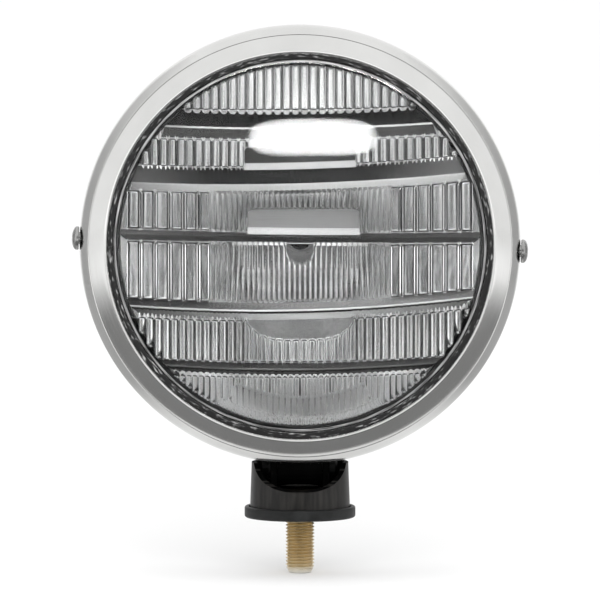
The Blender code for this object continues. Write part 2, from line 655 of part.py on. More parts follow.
def make_stud(root, zinc):
    chamfer = 1.0
    outline = [(0.0, -STUD_LENGTH), (STUD_TIP_RADIUS, -STUD_LENGTH),
               (STUD_RADIUS, -STUD_LENGTH + STUD_CHAMFER), (STUD_RADIUS, STUD_HEAD_BOTTOM),
               (STUD_HEAD_RADIUS, STUD_HEAD_BOTTOM),
               (STUD_HEAD_RADIUS, STUD_HEAD_TOP - chamfer), (STUD_HEAD_RADIUS - chamfer, STUD_HEAD_TOP),
               (0.0, STUD_HEAD_TOP)]
    piece("mount_stud", turned(outline, MOUNT_SEGMENTS), zinc, root)
    low = YOKE_BASE_TOP + GAP
    high = STUD_HEAD_BOTTOM - GAP
    hole = STUD_RADIUS + GAP
    washer = [(hole, low), (STUD_HEAD_RADIUS, low), (STUD_HEAD_RADIUS, high), (hole, high)]
    piece("stud_washer", turned(washer, MOUNT_SEGMENTS), zinc, root)


def make_cup(swivel, black):
    """Tapered cup, with its front scooped out so that the lamp can nod."""
    floor_top = CUP_FLOOR + CUP_FLOOR_THICKNESS
    hole = STUD_RADIUS + GAP
    outline = [(hole, CUP_FLOOR), (CUP_BOTTOM_RADIUS, CUP_FLOOR), (CUP_TOP_RADIUS, CUP_TOP),
               (CUP_TOP_RADIUS - CUP_WALL, CUP_TOP), (CUP_BOTTOM_RADIUS - CUP_WALL, floor_top),
               (hole, floor_top)]
    cup = piece("mount_cup", turned(outline, MOUNT_SEGMENTS), black, swivel)
    half = 1.6 * CUP_BOTTOM_RADIUS
    scoop = piece("cup_scoop", cylinder(SCOOP_RADIUS, -half, half, 96), black, swivel,
                  location=(0.0, SCOOP_Y, SCOOP_Z), rotation=ACROSS)
    combine(cup, scoop, "DIFFERENCE")


def make_yoke(swivel, black):
    """Round plate on the cup's floor with two ears that carry the tilt axis."""
    hole = STUD_RADIUS + GAP
    base = turned([(hole, YOKE_BASE_BOTTOM), (YOKE_BASE_RADIUS, YOKE_BASE_BOTTOM),
                   (YOKE_BASE_RADIUS, YOKE_BASE_TOP), (hole, YOKE_BASE_TOP)], MOUNT_SEGMENTS)
    yoke = piece("pivot_yoke", base, black, swivel)
    foot = YOKE_BASE_TOP - 1.0
    ear = arc((PIVOT_HEIGHT, 0.0), YOKE_EAR_RADIUS, -90, 90, 8)
    ear += [(foot, YOKE_EAR_RADIUS), (foot, -YOKE_EAR_RADIUS)]
    for side, start in (("left", -YOKE_EAR_INSIDE - YOKE_EAR_THICKNESS), ("right", YOKE_EAR_INSIDE)):
        plate = skinned([[(x, y, z) for z, y in ear] for x in (start, start + YOKE_EAR_THICKNESS)])
        combine(yoke, piece(f"yoke_ear_{side}", plate, black, swivel), "UNION")
    reach = YOKE_EAR_INSIDE + 2 * YOKE_EAR_THICKNESS
    pin_hole = piece("yoke_pin_hole", cylinder(PIVOT_BOLT_RADIUS + GAP, -reach, reach), black, swivel,
                     location=(0.0, 0.0, PIVOT_HEIGHT), rotation=ACROSS)
    combine(yoke, pin_hole, "DIFFERENCE")


def make_pivot_bolt(swivel, steel):
    """Bolt, nut and spring washer that clamp the tongue between the ears."""
    across = dict(location=(0.0, 0.0, PIVOT_HEIGHT), rotation=ACROSS)
    bore = PIVOT_BOLT_RADIUS + GAP
    ear_face = YOKE_EAR_INSIDE + YOKE_EAR_THICKNESS + GAP
    head_top = ear_face + PIVOT_BOLT_HEAD_HEIGHT
    edge = 0.9
    bolt = [(0.0, PIVOT_BOLT_END), (PIVOT_BOLT_RADIUS, PIVOT_BOLT_END), (PIVOT_BOLT_RADIUS, ear_face),
            (PIVOT_BOLT_HEAD_RADIUS, ear_face), (PIVOT_BOLT_HEAD_RADIUS, head_top - edge),
            (PIVOT_BOLT_HEAD_RADIUS - edge, head_top), (0.0, head_top)]
    piece("pivot_bolt", turned(bolt, SMALL_SEGMENTS), steel, swivel, **across)
    washer_end = -ear_face - PIVOT_WASHER_THICKNESS
    washer = [(bore, washer_end), (PIVOT_WASHER_RADIUS, washer_end), (PIVOT_WASHER_RADIUS, -ear_face),
              (bore, -ear_face)]
    piece("pivot_washer", turned(washer, SMALL_SEGMENTS), steel, swivel, **across)
    blank = prism(hexagon(PIVOT_NUT_ACROSS), PIVOT_NUT_END, washer_end - GAP)
    nut = piece("pivot_nut", blank, steel, swivel, **across)
    drill = cylinder(bore, PIVOT_NUT_END - 3.0, washer_end + 3.0)
    combine(nut, piece("pivot_nut_bore", drill, steel, swivel, **across), "DIFFERENCE")


def make_knuckle(tilt, lamp, finish):
    """The foot bolted under the bowl, with its round tongue on the tilt axis."""
    tongue = cylinder(KNUCKLE_RADIUS, -KNUCKLE_HALF_WIDTH, KNUCKLE_HALF_WIDTH)
    knuckle = piece("tilt_knuckle", tongue, finish, tilt, rotation=ACROSS)
    lift = SADDLE_BOTTOM - PIVOT_HEIGHT
    side = KNUCKLE_HALF_WIDTH - NECK_STEP
    neck = block((-side, -NECK_HALF_DEPTH, 0.0), (side, NECK_HALF_DEPTH, lift + 1.0))
    combine(knuckle, piece("knuckle_neck", neck, finish, tilt), "UNION")
    saddle = block((-SADDLE_HALF_WIDTH, SADDLE_FRONT, lift),
                   (SADDLE_HALF_WIDTH, SADDLE_BACK, lift + SADDLE_BLANK))
    combine(knuckle, piece("knuckle_saddle", saddle, finish, tilt), "UNION")
    combine(knuckle, piece("bowl_outside", bowl_solid(-GAP), finish, lamp), "DIFFERENCE")
    return knuckle


def make_bracket(tilt, lamp, housing, black, steel):
    """The knuckle, screwed through the bowl into a backing plate inside it."""
    knuckle = make_knuckle(tilt, lamp, black)
    low = Vector(BACKING_LOW) - Vector((0.0, 0.0, PIVOT_HEIGHT))
    high = Vector(BACKING_HIGH) - Vector((0.0, 0.0, PIVOT_HEIGHT))
    backing = piece("backing_plate", block(low, high), steel, tilt)
    combine(backing, piece("bowl_inside", bowl_solid(HOUSING_WALL + GAP), steel, lamp), "INTERSECT")
    tip = SADDLE_BOTTOM + 0.5 - PIVOT_HEIGHT
    seat = high.z + GAP
    edge = 1.0
    top = seat + BRACKET_HEAD_HEIGHT
    screw = [(0.0, tip), (BRACKET_SCREW_RADIUS, tip), (BRACKET_SCREW_RADIUS, seat),
             (BRACKET_HEAD_RADIUS, seat), (BRACKET_HEAD_RADIUS, top - edge),
             (BRACKET_HEAD_RADIUS - edge, top), (0.0, top)]
    for side, x in (("left", -BRACKET_SCREW_X), ("right", BRACKET_SCREW_X)):
        where = (x, BRACKET_SCREW_Y, 0.0)
        piece(f"bracket_screw_{side}", turned(screw, SMALL_SEGMENTS), steel, tilt, location=where)
        hole = cylinder(BRACKET_SCREW_RADIUS + GAP, tip - 4.0, top + 2.0)
        drill = piece(f"bracket_hole_{side}", hole, steel, tilt, location=where)
        for drilled in (knuckle, housing, backing):
            combine(drilled, drill, "DIFFERENCE")
    reach = KNUCKLE_HALF_WIDTH + 3.5
    bore = cylinder(PIVOT_BOLT_RADIUS + GAP, -reach, reach)
    combine(knuckle, piece("knuckle_bore", bore, black, tilt, rotation=ACROSS), "DIFFERENCE")


def build():
    clear_scene()
    stainless = material("stainless", (0.80, 0.80, 0.79), 0.12, 1.0)
    chrome = material("chrome", (0.82, 0.82, 0.82), 0.08, 1.0)
    mirror = material("mirror", (0.90, 0.90, 0.90), 0.05, 1.0)
    louver_metal = material("louver_metal", (0.45, 0.45, 0.46), 0.18, 1.0)
    glass = material("glass", (0.95, 0.97, 0.97), 0.02, 0.0, 1.0)
    rubber = material("rubber", (0.03, 0.03, 0.03), 0.65, 0.0)
    black = material("black_paint", (0.025, 0.024, 0.022), 0.42, 0.0)
    zinc = material("yellow_zinc", (0.60, 0.44, 0.22), 0.35, 1.0)
    steel = material("zinc_steel", (0.55, 0.55, 0.54), 0.35, 1.0)
    tungsten = material("tungsten", (0.35, 0.35, 0.36), 0.4, 1.0)
    brass = material("terminal_brass", (0.70, 0.55, 0.28), 0.3, 1.0)

    root = empty("mount_origin", (0.0, 0.0, 0.0))
    swivel = empty("swivel_axis", (0.0, 0.0, 0.0), parent=root)
    tilt = empty("tilt_axis", (0.0, 0.0, PIVOT_HEIGHT), parent=swivel)
    lamp_place = (0.0, RIM_FRONT_Y, AXIS_HEIGHT - PIVOT_HEIGHT)
    lamp = empty("lamp_frame", lamp_place, (0.5 * math.pi, 0.0, 0.0), tilt)

    rim = make_rim(lamp, stainless)
    make_lens(lamp, glass)
    make_lens_seal(lamp, rubber)
    make_louver_frame(lamp, louver_metal)
    for name in LOUVERS:
        make_louver(name, lamp, louver_metal)
    make_reflector(lamp, mirror)
    make_reflector_clips(lamp, steel)
    make_bulb_holder(lamp, steel)
    make_bulb_base(lamp, steel)
    make_bulb_capsule(lamp, glass)
    make_bulb_filament(lamp, tungsten)
    make_bulb_clip(lamp, steel)
    make_bulb_terminal(lamp, brass)
    housing = make_housing(lamp, stainless)
    make_grommet(lamp, housing, rubber)
    make_side_screws(lamp, rim, housing, chrome, steel)
    make_pad(root, rubber)
    make_stud(root, zinc)
    make_cup(swivel, black)
    make_yoke(swivel, black)
    make_pivot_bolt(swivel, steel)
    make_bracket(tilt, lamp, housing, black, steel)


build()
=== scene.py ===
"""Looks of the round fog light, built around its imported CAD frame.

The pieces are drawn in millimetres in the lamp frame (X right, Y up, Z out of the lamp) or
in the mount frame (X right, Y back, Z up), and placed by one matrix each. A depth is counted
backwards from the front of the rim, so it is minus Z in the lamp frame.
"""
import cmath
import math

import bmesh
import bpy
import numpy as np
from mathutils import Matrix, Vector


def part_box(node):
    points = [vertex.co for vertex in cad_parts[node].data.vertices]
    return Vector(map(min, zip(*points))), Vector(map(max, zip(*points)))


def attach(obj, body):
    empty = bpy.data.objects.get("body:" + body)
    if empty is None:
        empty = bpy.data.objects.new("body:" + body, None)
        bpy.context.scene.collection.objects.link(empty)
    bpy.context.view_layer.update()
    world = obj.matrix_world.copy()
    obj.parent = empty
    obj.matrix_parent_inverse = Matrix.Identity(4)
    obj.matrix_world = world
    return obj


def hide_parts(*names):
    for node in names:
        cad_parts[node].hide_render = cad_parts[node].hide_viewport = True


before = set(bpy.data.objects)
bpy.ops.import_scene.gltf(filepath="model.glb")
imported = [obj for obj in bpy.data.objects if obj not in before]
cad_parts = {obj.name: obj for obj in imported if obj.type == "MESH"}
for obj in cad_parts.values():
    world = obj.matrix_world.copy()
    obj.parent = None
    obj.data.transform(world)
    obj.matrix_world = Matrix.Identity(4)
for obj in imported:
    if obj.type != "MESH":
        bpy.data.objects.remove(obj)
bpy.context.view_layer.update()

MM = 0.001
FINE = 256  # segments of large turned pieces
MEDIUM = 96

# ---- places, from the frame
rim_low, rim_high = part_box("rim")
LIP_FRONT = 0.3  # the rolled lip's depth at its front
LAMP_ORIGIN = Vector((0.0, rim_low.y - LIP_FRONT * MM, 0.5 * (rim_low.z + rim_high.z)))
LAMP = Matrix.Translation(LAMP_ORIGIN) @ Matrix.Rotation(0.5 * math.pi, 4, "X") @ Matrix.Scale(MM, 4)
MOUNT = Matrix.Scale(MM, 4)
FLOOR_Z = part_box("mount_stud")[0].z - 0.0002

# ---- sizes shared with the CAD, in mm
RIM_RADIUS = 85.0
RIM_INNER_RADIUS = 74.3
RIM_DEPTH = 20.0
RIM_BACK_RADIUS = 84.25
RIM_WALL = 1.0
SHOULDER_RADIUS = 11.3  # the rim's side curves from 45 degrees to upright
SHOULDER_CENTRE = (RIM_RADIUS - SHOULDER_RADIUS, 12.2)
GLASS_DOME_RADIUS = 220.0
GLASS_THICKNESS = 3.2
GLASS_FRONT_DEPTH = -6.0
GLASS_DOME_EDGE = 71.8
GLASS_EDGE_RADIUS = 76.0
GLASS_EDGE_FRONT = 6.0
GLASS_EDGE_BACK = GLASS_EDGE_FRONT + GLASS_THICKNESS
FLUTED_RADIUS = 70.3  # the domed back of the glass ends here
RIB_RADIUS = 68.9  # the moulded ribs end on this circle
LOUVER_RADIUS = 69.2
LOUVER_CLEARANCE = 0.7
UPPER_SLOPE = 0.55
LOWER_SLOPE = 0.60
MITRE = 0.04
LOUVERS = {  # name: (top, fold, bottom, sag of the middle, roll in degrees)
    "louver_1": (51.6, 45.4, 41.1, 1.0, 0.6),
    "louver_2": (30.5, 24.5, 21.5, 1.7, 1.6),
    "louver_3": (5.7, 4.0, 1.3, 0.0, -0.5),
    "louver_4": (-20.8, -24.1, -27.8, 2.4, 1.4),
    "louver_5": (-44.7, -47.3, -50.0, 1.6, 0.5),
}
TABS = {  # louver it stands on: (middle, width, top of the tab)
    "louver_2": (0.0, 43.0, 38.3),
    "louver_3": (1.4, 43.0, 14.7),
}
TAB_CORNER = 2.5
FOCAL_LENGTH = 22.0
REFLECTOR_VERTEX_DEPTH = 70.4
REFLECTOR_RADIUS = 69.5
REFLECTOR_FRONT_DEPTH = 14.5
NECK_RADIUS = 14.0
HOUSING_RADIUS = 82.6
HOUSING_WALL = 1.0
HOUSING_FRONT_DEPTH = 9.5
BOWL_START_DEPTH = 20.0
BOWL_LENGTH = 70.0
STUD_RADIUS = 5.555
STUD_TIP = -21.5
BLACK_TOP = 8.5  # the stud's colours, ending in black painted as shade, are spread from its tip to this height
HOLE_RADIUS = 5.855  # of the holes for the stud


# ---- mesh helpers

def shade(mesh, sharp):
    """Smooth shading, with hard edges where faces meet at more than an angle in degrees."""
    mesh.shade_smooth()
    mesh.set_sharp_from_angle(angle=math.radians(sharp))


def finish_piece(name, bm, matrix, finish, body, sharp=35.0):
    """Turn a bmesh into a shaded piece that rides on a CAD body."""
    bmesh.ops.recalc_face_normals(bm, faces=bm.faces)
    bmesh.ops.transform(bm, matrix=matrix, verts=bm.verts)
    mesh = bpy.data.meshes.new(name)
    bm.to_mesh(mesh)
    bm.free()
    mesh.materials.append(finish)
    shade(mesh, sharp)
    made = bpy.data.objects.new(name, mesh)
    bpy.context.scene.collection.objects.link(made)
    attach(made, body)
    return made


def ring_of(bm, radius, height, segments, first_turn=0.0):
    """A ring of vertices about Z, or a single one on the axis."""
    turns = [first_turn + 2 * math.pi * step / segments for step in range(segments if radius > 0 else 1)]
    return [bm.verts.new((radius * math.cos(turn), radius * math.sin(turn), height)) for turn in turns]


def bridge(bm, ring, following):
    """Faces between two rings with the same number of vertices, or from a ring to a single one."""
    segments = max(len(ring), len(following))
    for step in range(segments):
        after = (step + 1) % segments
        corners = [ring[step % len(ring)], ring[after % len(ring)],
                   following[after % len(following)], following[step % len(following)]]
        corners = list(dict.fromkeys(corners))
        if len(corners) > 2:
            bm.faces.new(corners)


def turned(outline, segments=FINE):
    """A solid turned about Z from a closed outline of (radius, height) points."""
    bm = bmesh.new()
    rings = [ring_of(bm, radius, height, segments) for radius, height in outline]
    for ring, following in zip(rings, rings[1:] + rings[:1]):
        bridge(bm, ring, following)
    return bm


def behind(outline):
    """Turn depths behind the rim's front into heights in the lamp frame."""
    return [(radius, -depth) for radius, depth in outline]


def arc(centre, radius, start, end, steps):
    """Points on a circle between two angles in degrees."""
    turns = [math.radians(start + (end - start) * step / steps) for step in range(steps + 1)]
    return [(centre[0] + radius * math.cos(turn), centre[1] + radius * math.sin(turn))
            for turn in turns]


def arc_through(start, middle, end, steps):
    """Points on the circle through three points, from the first to the last."""
    a, b, c = (complex(*point) for point in (start, middle, end))
    ratio = (c - a) / (b - a)
    centre = a + (b - a) * (ratio - abs(ratio) ** 2) / (2j * ratio.imag)
    first, last = (math.degrees(cmath.phase(point - centre)) for point in (a, c))
    return arc((centre.real, centre.imag), abs(a - centre), first, last, steps)


def skinned(sections):
    """A closed solid through equal loops of points, with a cap on each end."""
    bm = bmesh.new()
    loops = [[bm.verts.new(point) for point in section] for section in sections]
    for loop, following in zip(loops, loops[1:]):
        bridge(bm, loop, following)
    bm.faces.new(loops[0])
    bm.faces.new(loops[-1])
    return bm


def wire(points, radius, sides=8):
    """A closed round tube along a line of points."""
    points = [Vector(point) for point in points]
    sections = []
    across = Vector((0.0, 1.0, 0.0))
    for index, point in enumerate(points):
        along = (points[min(index + 1, len(points) - 1)] - points[max(index - 1, 0)]).normalized()
        across = (across - along * across.dot(along)).normalized()
        other = along.cross(across)
        sections.append([point + radius * (math.cos(turn) * across + math.sin(turn) * other)
                         for turn in (2 * math.pi * side / sides for side in range(sides))])
    return skinned(sections)


def glass_inner_depth(radius):
    inner = GLASS_DOME_RADIUS - GLASS_THICKNESS
    return GLASS_FRONT_DEPTH + GLASS_THICKNESS + inner - np.sqrt(inner ** 2 - radius ** 2)


def glass_outer_depth(radius):
    outer = GLASS_DOME_RADIUS
    return GLASS_FRONT_DEPTH + outer - math.sqrt(outer ** 2 - radius ** 2)


# ---- materials

def math_node(tree, operation, *values):
    node = tree.nodes.new("ShaderNodeMath")
    node.operation = operation
    feed(tree, node, values)
    return node.outputs[0]


def feed(tree, node, values):
    """Set a node's first inputs, each to a number or to another node's output."""
    for socket, value in zip(node.inputs, values):
        if isinstance(value, (int, float)):
            socket.default_value = value
        else:
            tree.links.new(value, socket)


def split_node(tree, vector):
    node = tree.nodes.new("ShaderNodeSeparateXYZ")
    tree.links.new(vector, node.inputs[0])
    return node.outputs


def range_node(tree, value, low, high, from_low, from_high, course="LINEAR"):
    """Stretch one range of a value onto another."""
    node = tree.nodes.new("ShaderNodeMapRange")
    node.interpolation_type = course
    feed(tree, node, (value, from_low, from_high, low, high))
    return node.outputs["Result"]


class Finish:
    """A material with its node tree at hand; textures are laid out in object coordinates."""

    def __init__(self, name, colour, roughness, metallic=0.0):
        self.material = bpy.data.materials.new(name)
        self.material.use_nodes = True
        self.tree = self.material.node_tree
        self.nodes = self.tree.nodes
        self.links = self.tree.links
        self.shader = self.nodes["Principled BSDF"]
        self.set("Base Color", (*colour, 1.0))
        self.set("Roughness", roughness)
        self.set("Metallic", metallic)

    def set(self, socket, value):
        self.shader.inputs[socket].default_value = value

    def link(self, output, socket):
        self.links.new(output, self.shader.inputs[socket])

    def place(self):
        """Object coordinates in metres."""
        return self.nodes.new("ShaderNodeTexCoord").outputs["Object"]

    def math(self, operation, *values):
        return math_node(self.tree, operation, *values)

    def split(self):
        return split_node(self.tree, self.place())

    def combine(self, *parts):
        node = self.nodes.new("ShaderNodeCombineXYZ")
        feed(self.tree, node, parts)
        return node.outputs[0]

    def around(self, centre, axis, along_turn, across):
        """Coordinates wrapped round an axis: radius, arc and depth, scaled for a texture."""
        spot = self.split()
        first, second = ("X", "Z") if axis == "Y" else ("X", "Y")
        a = self.math("SUBTRACT", spot[first], centre[0])
        b = self.math("SUBTRACT", spot[second], centre[1])
        squares = self.math("ADD", self.math("MULTIPLY", a, a), self.math("MULTIPLY", b, b))
        radius = self.math("SQRT", squares)
        turn = self.math("ARCTAN2", b, a)
        return self.combine(self.math("MULTIPLY", radius, across), self.math("MULTIPLY", turn, along_turn),
                            self.math("MULTIPLY", spot[axis], across))

    def noise(self, scale, detail=3.0, vector=None):
        node = self.nodes.new("ShaderNodeTexNoise")
        node.inputs["Scale"].default_value = scale
        node.inputs["Detail"].default_value = detail
        self.links.new(vector or self.place(), node.inputs["Vector"])
        return node.outputs["Fac"]

    def spread(self, value, low, high, from_low=0.3, from_high=0.7):
        return range_node(self.tree, value, low, high, from_low, from_high)

    def paint(self, value, *stops):
        """Colour the piece by a value, through (position, colour) stops."""
        node = self.nodes.new("ShaderNodeValToRGB")
        elements = node.color_ramp.elements
        while len(elements) < len(stops):
            elements.new(0.5)
        for element, (position, colour) in zip(elements, stops):
            element.position = position
            element.color = (*colour, 1.0)
        self.links.new(value, node.inputs["Fac"])
        self.link(node.outputs["Color"], "Base Color")

    def gloss(self, value, low, high, *from_range):
        self.link(self.spread(value, low, high, *from_range), "Roughness")

    def bump(self, height, distance):
        node = self.nodes.new("ShaderNodeBump")
        node.inputs["Distance"].default_value = distance
        self.links.new(height, node.inputs["Height"])
        self.link(node.outputs["Normal"], "Normal")

    def see_through_in_shadow(self):
        """Let lamps light what is behind the glass."""
        path = self.nodes.new("ShaderNodeLightPath")
        clear = self.nodes.new("ShaderNodeBsdfTransparent")
        mix = self.nodes.new("ShaderNodeMixShader")
        output = self.nodes["Material Output"]
        self.links.new(path.outputs["Is Shadow Ray"], mix.inputs["Fac"])
        self.links.new(self.shader.outputs["BSDF"], mix.inputs[1])
        self.links.new(clear.outputs["BSDF"], mix.inputs[2])
        self.links.new(mix.outputs["Shader"], output.inputs["Surface"])


def grey(level):
    return (level, level, level)


def scaled(colour, factor):
    return tuple(min(1.0, factor * part) for part in colour)


LAMP_CENTRE = (LAMP_ORIGIN.x, LAMP_ORIGIN.z)


def make_ringed_steel(name, dark, light, cloud_scale, turn_scale, ring_scale, roughness, relief):
    """Steel with fine rings round the lamp's axis, from polishing or from spinning."""
    finish = Finish(name, light, roughness[0], 1.0)
    rings = finish.noise(1.0, 4.0, finish.around(LAMP_CENTRE, "Y", turn_scale, ring_scale))
    finish.paint(finish.noise(cloud_scale, 3.0), (0.3, dark), (0.7, light))
    finish.gloss(rings, *roughness)
    finish.bump(rings, relief)
    return finish.material


def make_ground_steel(name, colour, roughness):
    """Plain metal whose tone and gloss vary a little."""
    finish = Finish(name, colour, roughness, 1.0)
    grain = finish.noise(900.0, 4.0)
    finish.paint(finish.noise(120.0, 3.0), (0.35, scaled(colour, 0.78)), (0.65, scaled(colour, 1.12)))
    finish.gloss(grain, 0.75 * roughness, 1.35 * roughness)
    finish.bump(grain, 0.00001)
    return finish.material


def make_rubber(name, colour, roughness, specular=0.3):
    """Matt black with a fine moulded skin."""
    finish = Finish(name, colour, roughness)
    finish.set("Specular IOR Level", specular)
    dust = finish.noise(160.0, 4.0)
    finish.paint(dust, (0.45, colour), (0.75, scaled(colour, 2.2)))
    finish.gloss(dust, 0.85 * roughness, 1.15 * roughness)
    finish.bump(finish.noise(2600.0, 4.0), 0.00003)
    return finish.material


def make_seal_rubber():
    """Black seal with thin bright dashes along its length, painted highlights for glints on its skin."""
    finish = Finish("seal_rubber", (0.01, 0.01, 0.01), 0.4)
    finish.set("Specular IOR Level", 0.4)
    painted_glint_dashes = finish.noise(1.0, 2.0, finish.around(LAMP_CENTRE, "Y", 22.0, 1500.0))
    finish.paint(painted_glint_dashes, (0.56, grey(0.008)), (0.62, grey(0.10)), (0.72, grey(0.42)))
    finish.gloss(painted_glint_dashes, 0.5, 0.25)
    finish.bump(painted_glint_dashes, 0.0002)
    return finish.material


def make_cup_black():
    """Satin black moulding with faint upright wiping marks."""
    finish = Finish("cup_black", (0.010, 0.0095, 0.009), 0.36)
    finish.set("Specular IOR Level", 0.32)
    streaks = finish.noise(1.0, 3.0, finish.around((0.0, 0.0), "Z", 9.0, 60.0))
    finish.paint(streaks, (0.4, (0.008, 0.0075, 0.007)), (0.72, (0.026, 0.024, 0.022)))
    finish.gloss(streaks, 0.30, 0.44)
    finish.bump(finish.noise(2200.0, 3.0), 0.00002)
    return finish.material


def make_glass_finish(name, tint, mirror_strength):
    """Clear glass with a faint film on it."""
    finish = Finish(name, tint, 0.0)
    finish.set("Specular Tint", (*grey(mirror_strength), 1.0))
    finish.set("Transmission Weight", 1.0)
    finish.set("IOR", 1.5)
    finish.gloss(finish.noise(55.0, 3.0), 0.0, 0.035, 0.45, 0.8)
    finish.see_through_in_shadow()
    return finish.material


def make_ground_edge():
    """The ground bevel round the glass: frosted, with thin lines from the wheel."""
    finish = Finish("ground_edge", grey(0.36), 0.45)
    lines = finish.noise(1.0, 2.0, finish.around(LAMP_CENTRE, "Y", 8.0, 3500.0))
    finish.paint(lines, (0.40, grey(0.02)), (0.52, grey(0.11)), (0.65, grey(0.20)))
    finish.gloss(lines, 0.35, 0.6)
    finish.bump(lines, 0.00003)
    return finish.material


def make_reflector_coating():
    """Vacuum-coated aluminium, a little hazed."""
    finish = Finish("reflector_coating", (0.94, 0.94, 0.94), 0.3, 1.0)
    haze = finish.noise(45.0, 4.0)
    finish.paint(haze, (0.3, grey(0.94)), (0.7, grey(0.99)))
    finish.gloss(haze, 0.07, 0.16)
    return finish.material


DRAWN_GRAIN = (("X", 25.0), ("Y", 900.0), ("Z", 2600.0))  # it runs along the strip


def make_louver_finish(name, tones, roughness, specular=0.1):
    """Satin strip whose colour carries painted shade and painted reflections, with a little random tone:
    tones from its left end to its right end.
    """
    finish = Finish(name, grey(tones[1]), roughness)
    finish.set("Specular IOR Level", specular)
    spot = finish.split()
    along = finish.spread(spot["X"], 0.0, 1.0, -LOUVER_RADIUS * MM, LOUVER_RADIUS * MM)
    painted_light_drift = finish.math("ADD", along, finish.math("MULTIPLY", finish.noise(30.0, 2.0), 0.12))
    stops = [(0.06 + 0.94 * index / (len(tones) - 1), grey(tone)) for index, tone in enumerate(tones)]
    finish.paint(painted_light_drift, *stops)
    grain = [finish.math("MULTIPLY", spot[axis], scale) for axis, scale in DRAWN_GRAIN]
    drawn = finish.noise(1.0, 3.0, finish.combine(*grain))
    finish.gloss(drawn, 0.8 * roughness, 1.25 * roughness)
    finish.bump(drawn, 0.00002)
    return finish.material


def make_yellow_zinc():
    """Yellow-passivated plating on the thread, paler at the tip, and painted black above the pad as shade
    inside the cup.
    """
    finish = Finish("yellow_zinc", (0.45, 0.33, 0.17), 0.4, 1.0)
    height = finish.spread(finish.split()["Z"], 0.0, 1.0, STUD_TIP * MM, BLACK_TOP * MM)
    wobble = finish.math("ADD", height, finish.math("MULTIPLY", finish.noise(300.0, 3.0), 0.05))
    finish.paint(wobble, (0.03, (0.74, 0.72, 0.66)), (0.13, (0.68, 0.57, 0.38)), (0.30, (0.62, 0.49, 0.29)),
                 (0.72, (0.64, 0.51, 0.30)), (0.80, (0.02, 0.018, 0.015)))
    finish.gloss(finish.noise(700.0, 3.0), 0.3, 0.5)
    finish.bump(finish.noise(1500.0, 3.0), 0.00002)
    return finish.material


stainless = make_ringed_steel("polished_stainless", (0.64, 0.64, 0.63), (0.70, 0.70, 0.69), 38.0, 1.2, 5200.0,
                              (0.08, 0.22), 0.000002)
screw_metal = make_ground_steel("screw_chrome", (0.36, 0.36, 0.355), 0.24)
bowl_metal = make_ringed_steel("bowl_steel", (0.40, 0.40, 0.395), (0.47, 0.47, 0.465), 30.0, 2.5, 1400.0,
                               (0.24, 0.38), 0.00001)
steel = make_ground_steel("zinc_steel", (0.52, 0.52, 0.51), 0.35)
lens_glass = make_glass_finish("lens_glass", (0.985, 0.99, 0.99), 0.25)
# Painted shade: near-black glass in the valleys between the coarse ribs.
groove_shade_glass = make_glass_finish("groove_shade_glass", grey(0.04), 0.25)
bulb_glass = make_glass_finish("bulb_glass", (0.98, 0.98, 0.98), 1.0)
bulb_cap = make_ground_steel("bulb_cap", (0.02, 0.02, 0.022), 0.12)
blackened_shade_steel = make_ground_steel("blackened_shade_steel", (0.03, 0.03, 0.03), 0.5)
bulb_steel = make_ground_steel("bulb_steel", (0.16, 0.16, 0.16), 0.35)
tungsten = make_ground_steel("tungsten", (0.36, 0.35, 0.34), 0.3)
brass = make_ground_steel("terminal_brass", (0.62, 0.47, 0.22), 0.3)
seal_rubber = make_seal_rubber()
pad_rubber = make_rubber("pad_rubber", (0.010, 0.0105, 0.0105), 0.5, 0.28)
# Near-black paint: painted shade on the inside of the cup, and the colour of the hardware hidden in it.
black_paint = make_rubber("black_paint", (0.002, 0.002, 0.002), 0.7, 0.03)
cup_black = make_cup_black()
mirror = make_reflector_coating()
zinc_yellow = make_yellow_zinc()
# Painted highlight: the lip along a louver's fold, and the bottom edge of louver_3.
louver_lip_highlight = make_louver_finish("louver_lip_highlight", (0.12, 0.26, 0.20), 0.3, 0.5)
# Painted shade: a near-black band under the lip of louver_4 and louver_5.
louver_groove_shade = make_louver_finish("louver_groove_shade", (0.006, 0.004, 0.006), 0.6, 0.05)
louver_back = make_ground_steel("louver_back", (0.92, 0.92, 0.92), 0.55)
tab_foot_highlight = make_louver_finish("tab_foot_highlight", (0.13, 0.17, 0.15), 0.45, 0.2)
ring_black = make_rubber("ring_black", (0.006, 0.006, 0.006), 0.45, 0.15)


# ---- rim, seal, bowl, reflector

LIP = ((75.5, 1.5), 1.2)  # centre and radius; points of the rim's section are (radius, depth)
LIP_HOLLOW = ((76.3, 2.6), 1.0)
LIP_BACK_DEPTH = 4.6
CROWN = ((76.1, 0.5), (78.9, 1.95), (81.3, 3.75))
CROWN_STEP = (81.5, 4.2)  # the crease between crown and shoulder
CROWN_INSIDE = [(80.6, 4.6), (78.4, 3.1)]


def make_rim():
    """Polished bezel: rolled lip, sloping crown, step, rounded shoulder and skirt."""
    lip = arc(*LIP, 180, 270, 10)
    crown = arc_through(*CROWN, 12)
    shoulder = arc(SHOULDER_CENTRE, SHOULDER_RADIUS, -45, 0, 24)
    shoulder_inside = arc(SHOULDER_CENTRE, SHOULDER_RADIUS - RIM_WALL, 0, -45, 12)
    lip_inside = arc(*LIP_HOLLOW, 270, 180, 4)
    outside = ([(RIM_INNER_RADIUS, LIP_BACK_DEPTH)] + lip + crown + [CROWN_STEP] + shoulder
               + [(RIM_BACK_RADIUS, RIM_DEPTH)])
    inside = ([(RIM_BACK_RADIUS - RIM_WALL, RIM_DEPTH)] + shoulder_inside + CROWN_INSIDE + lip_inside
              + [(RIM_INNER_RADIUS + RIM_WALL, LIP_BACK_DEPTH)])
    rim = finish_piece("rim_bezel", turned(behind(outside + inside)), LAMP, stainless, "lamp", 18)
    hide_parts("rim")


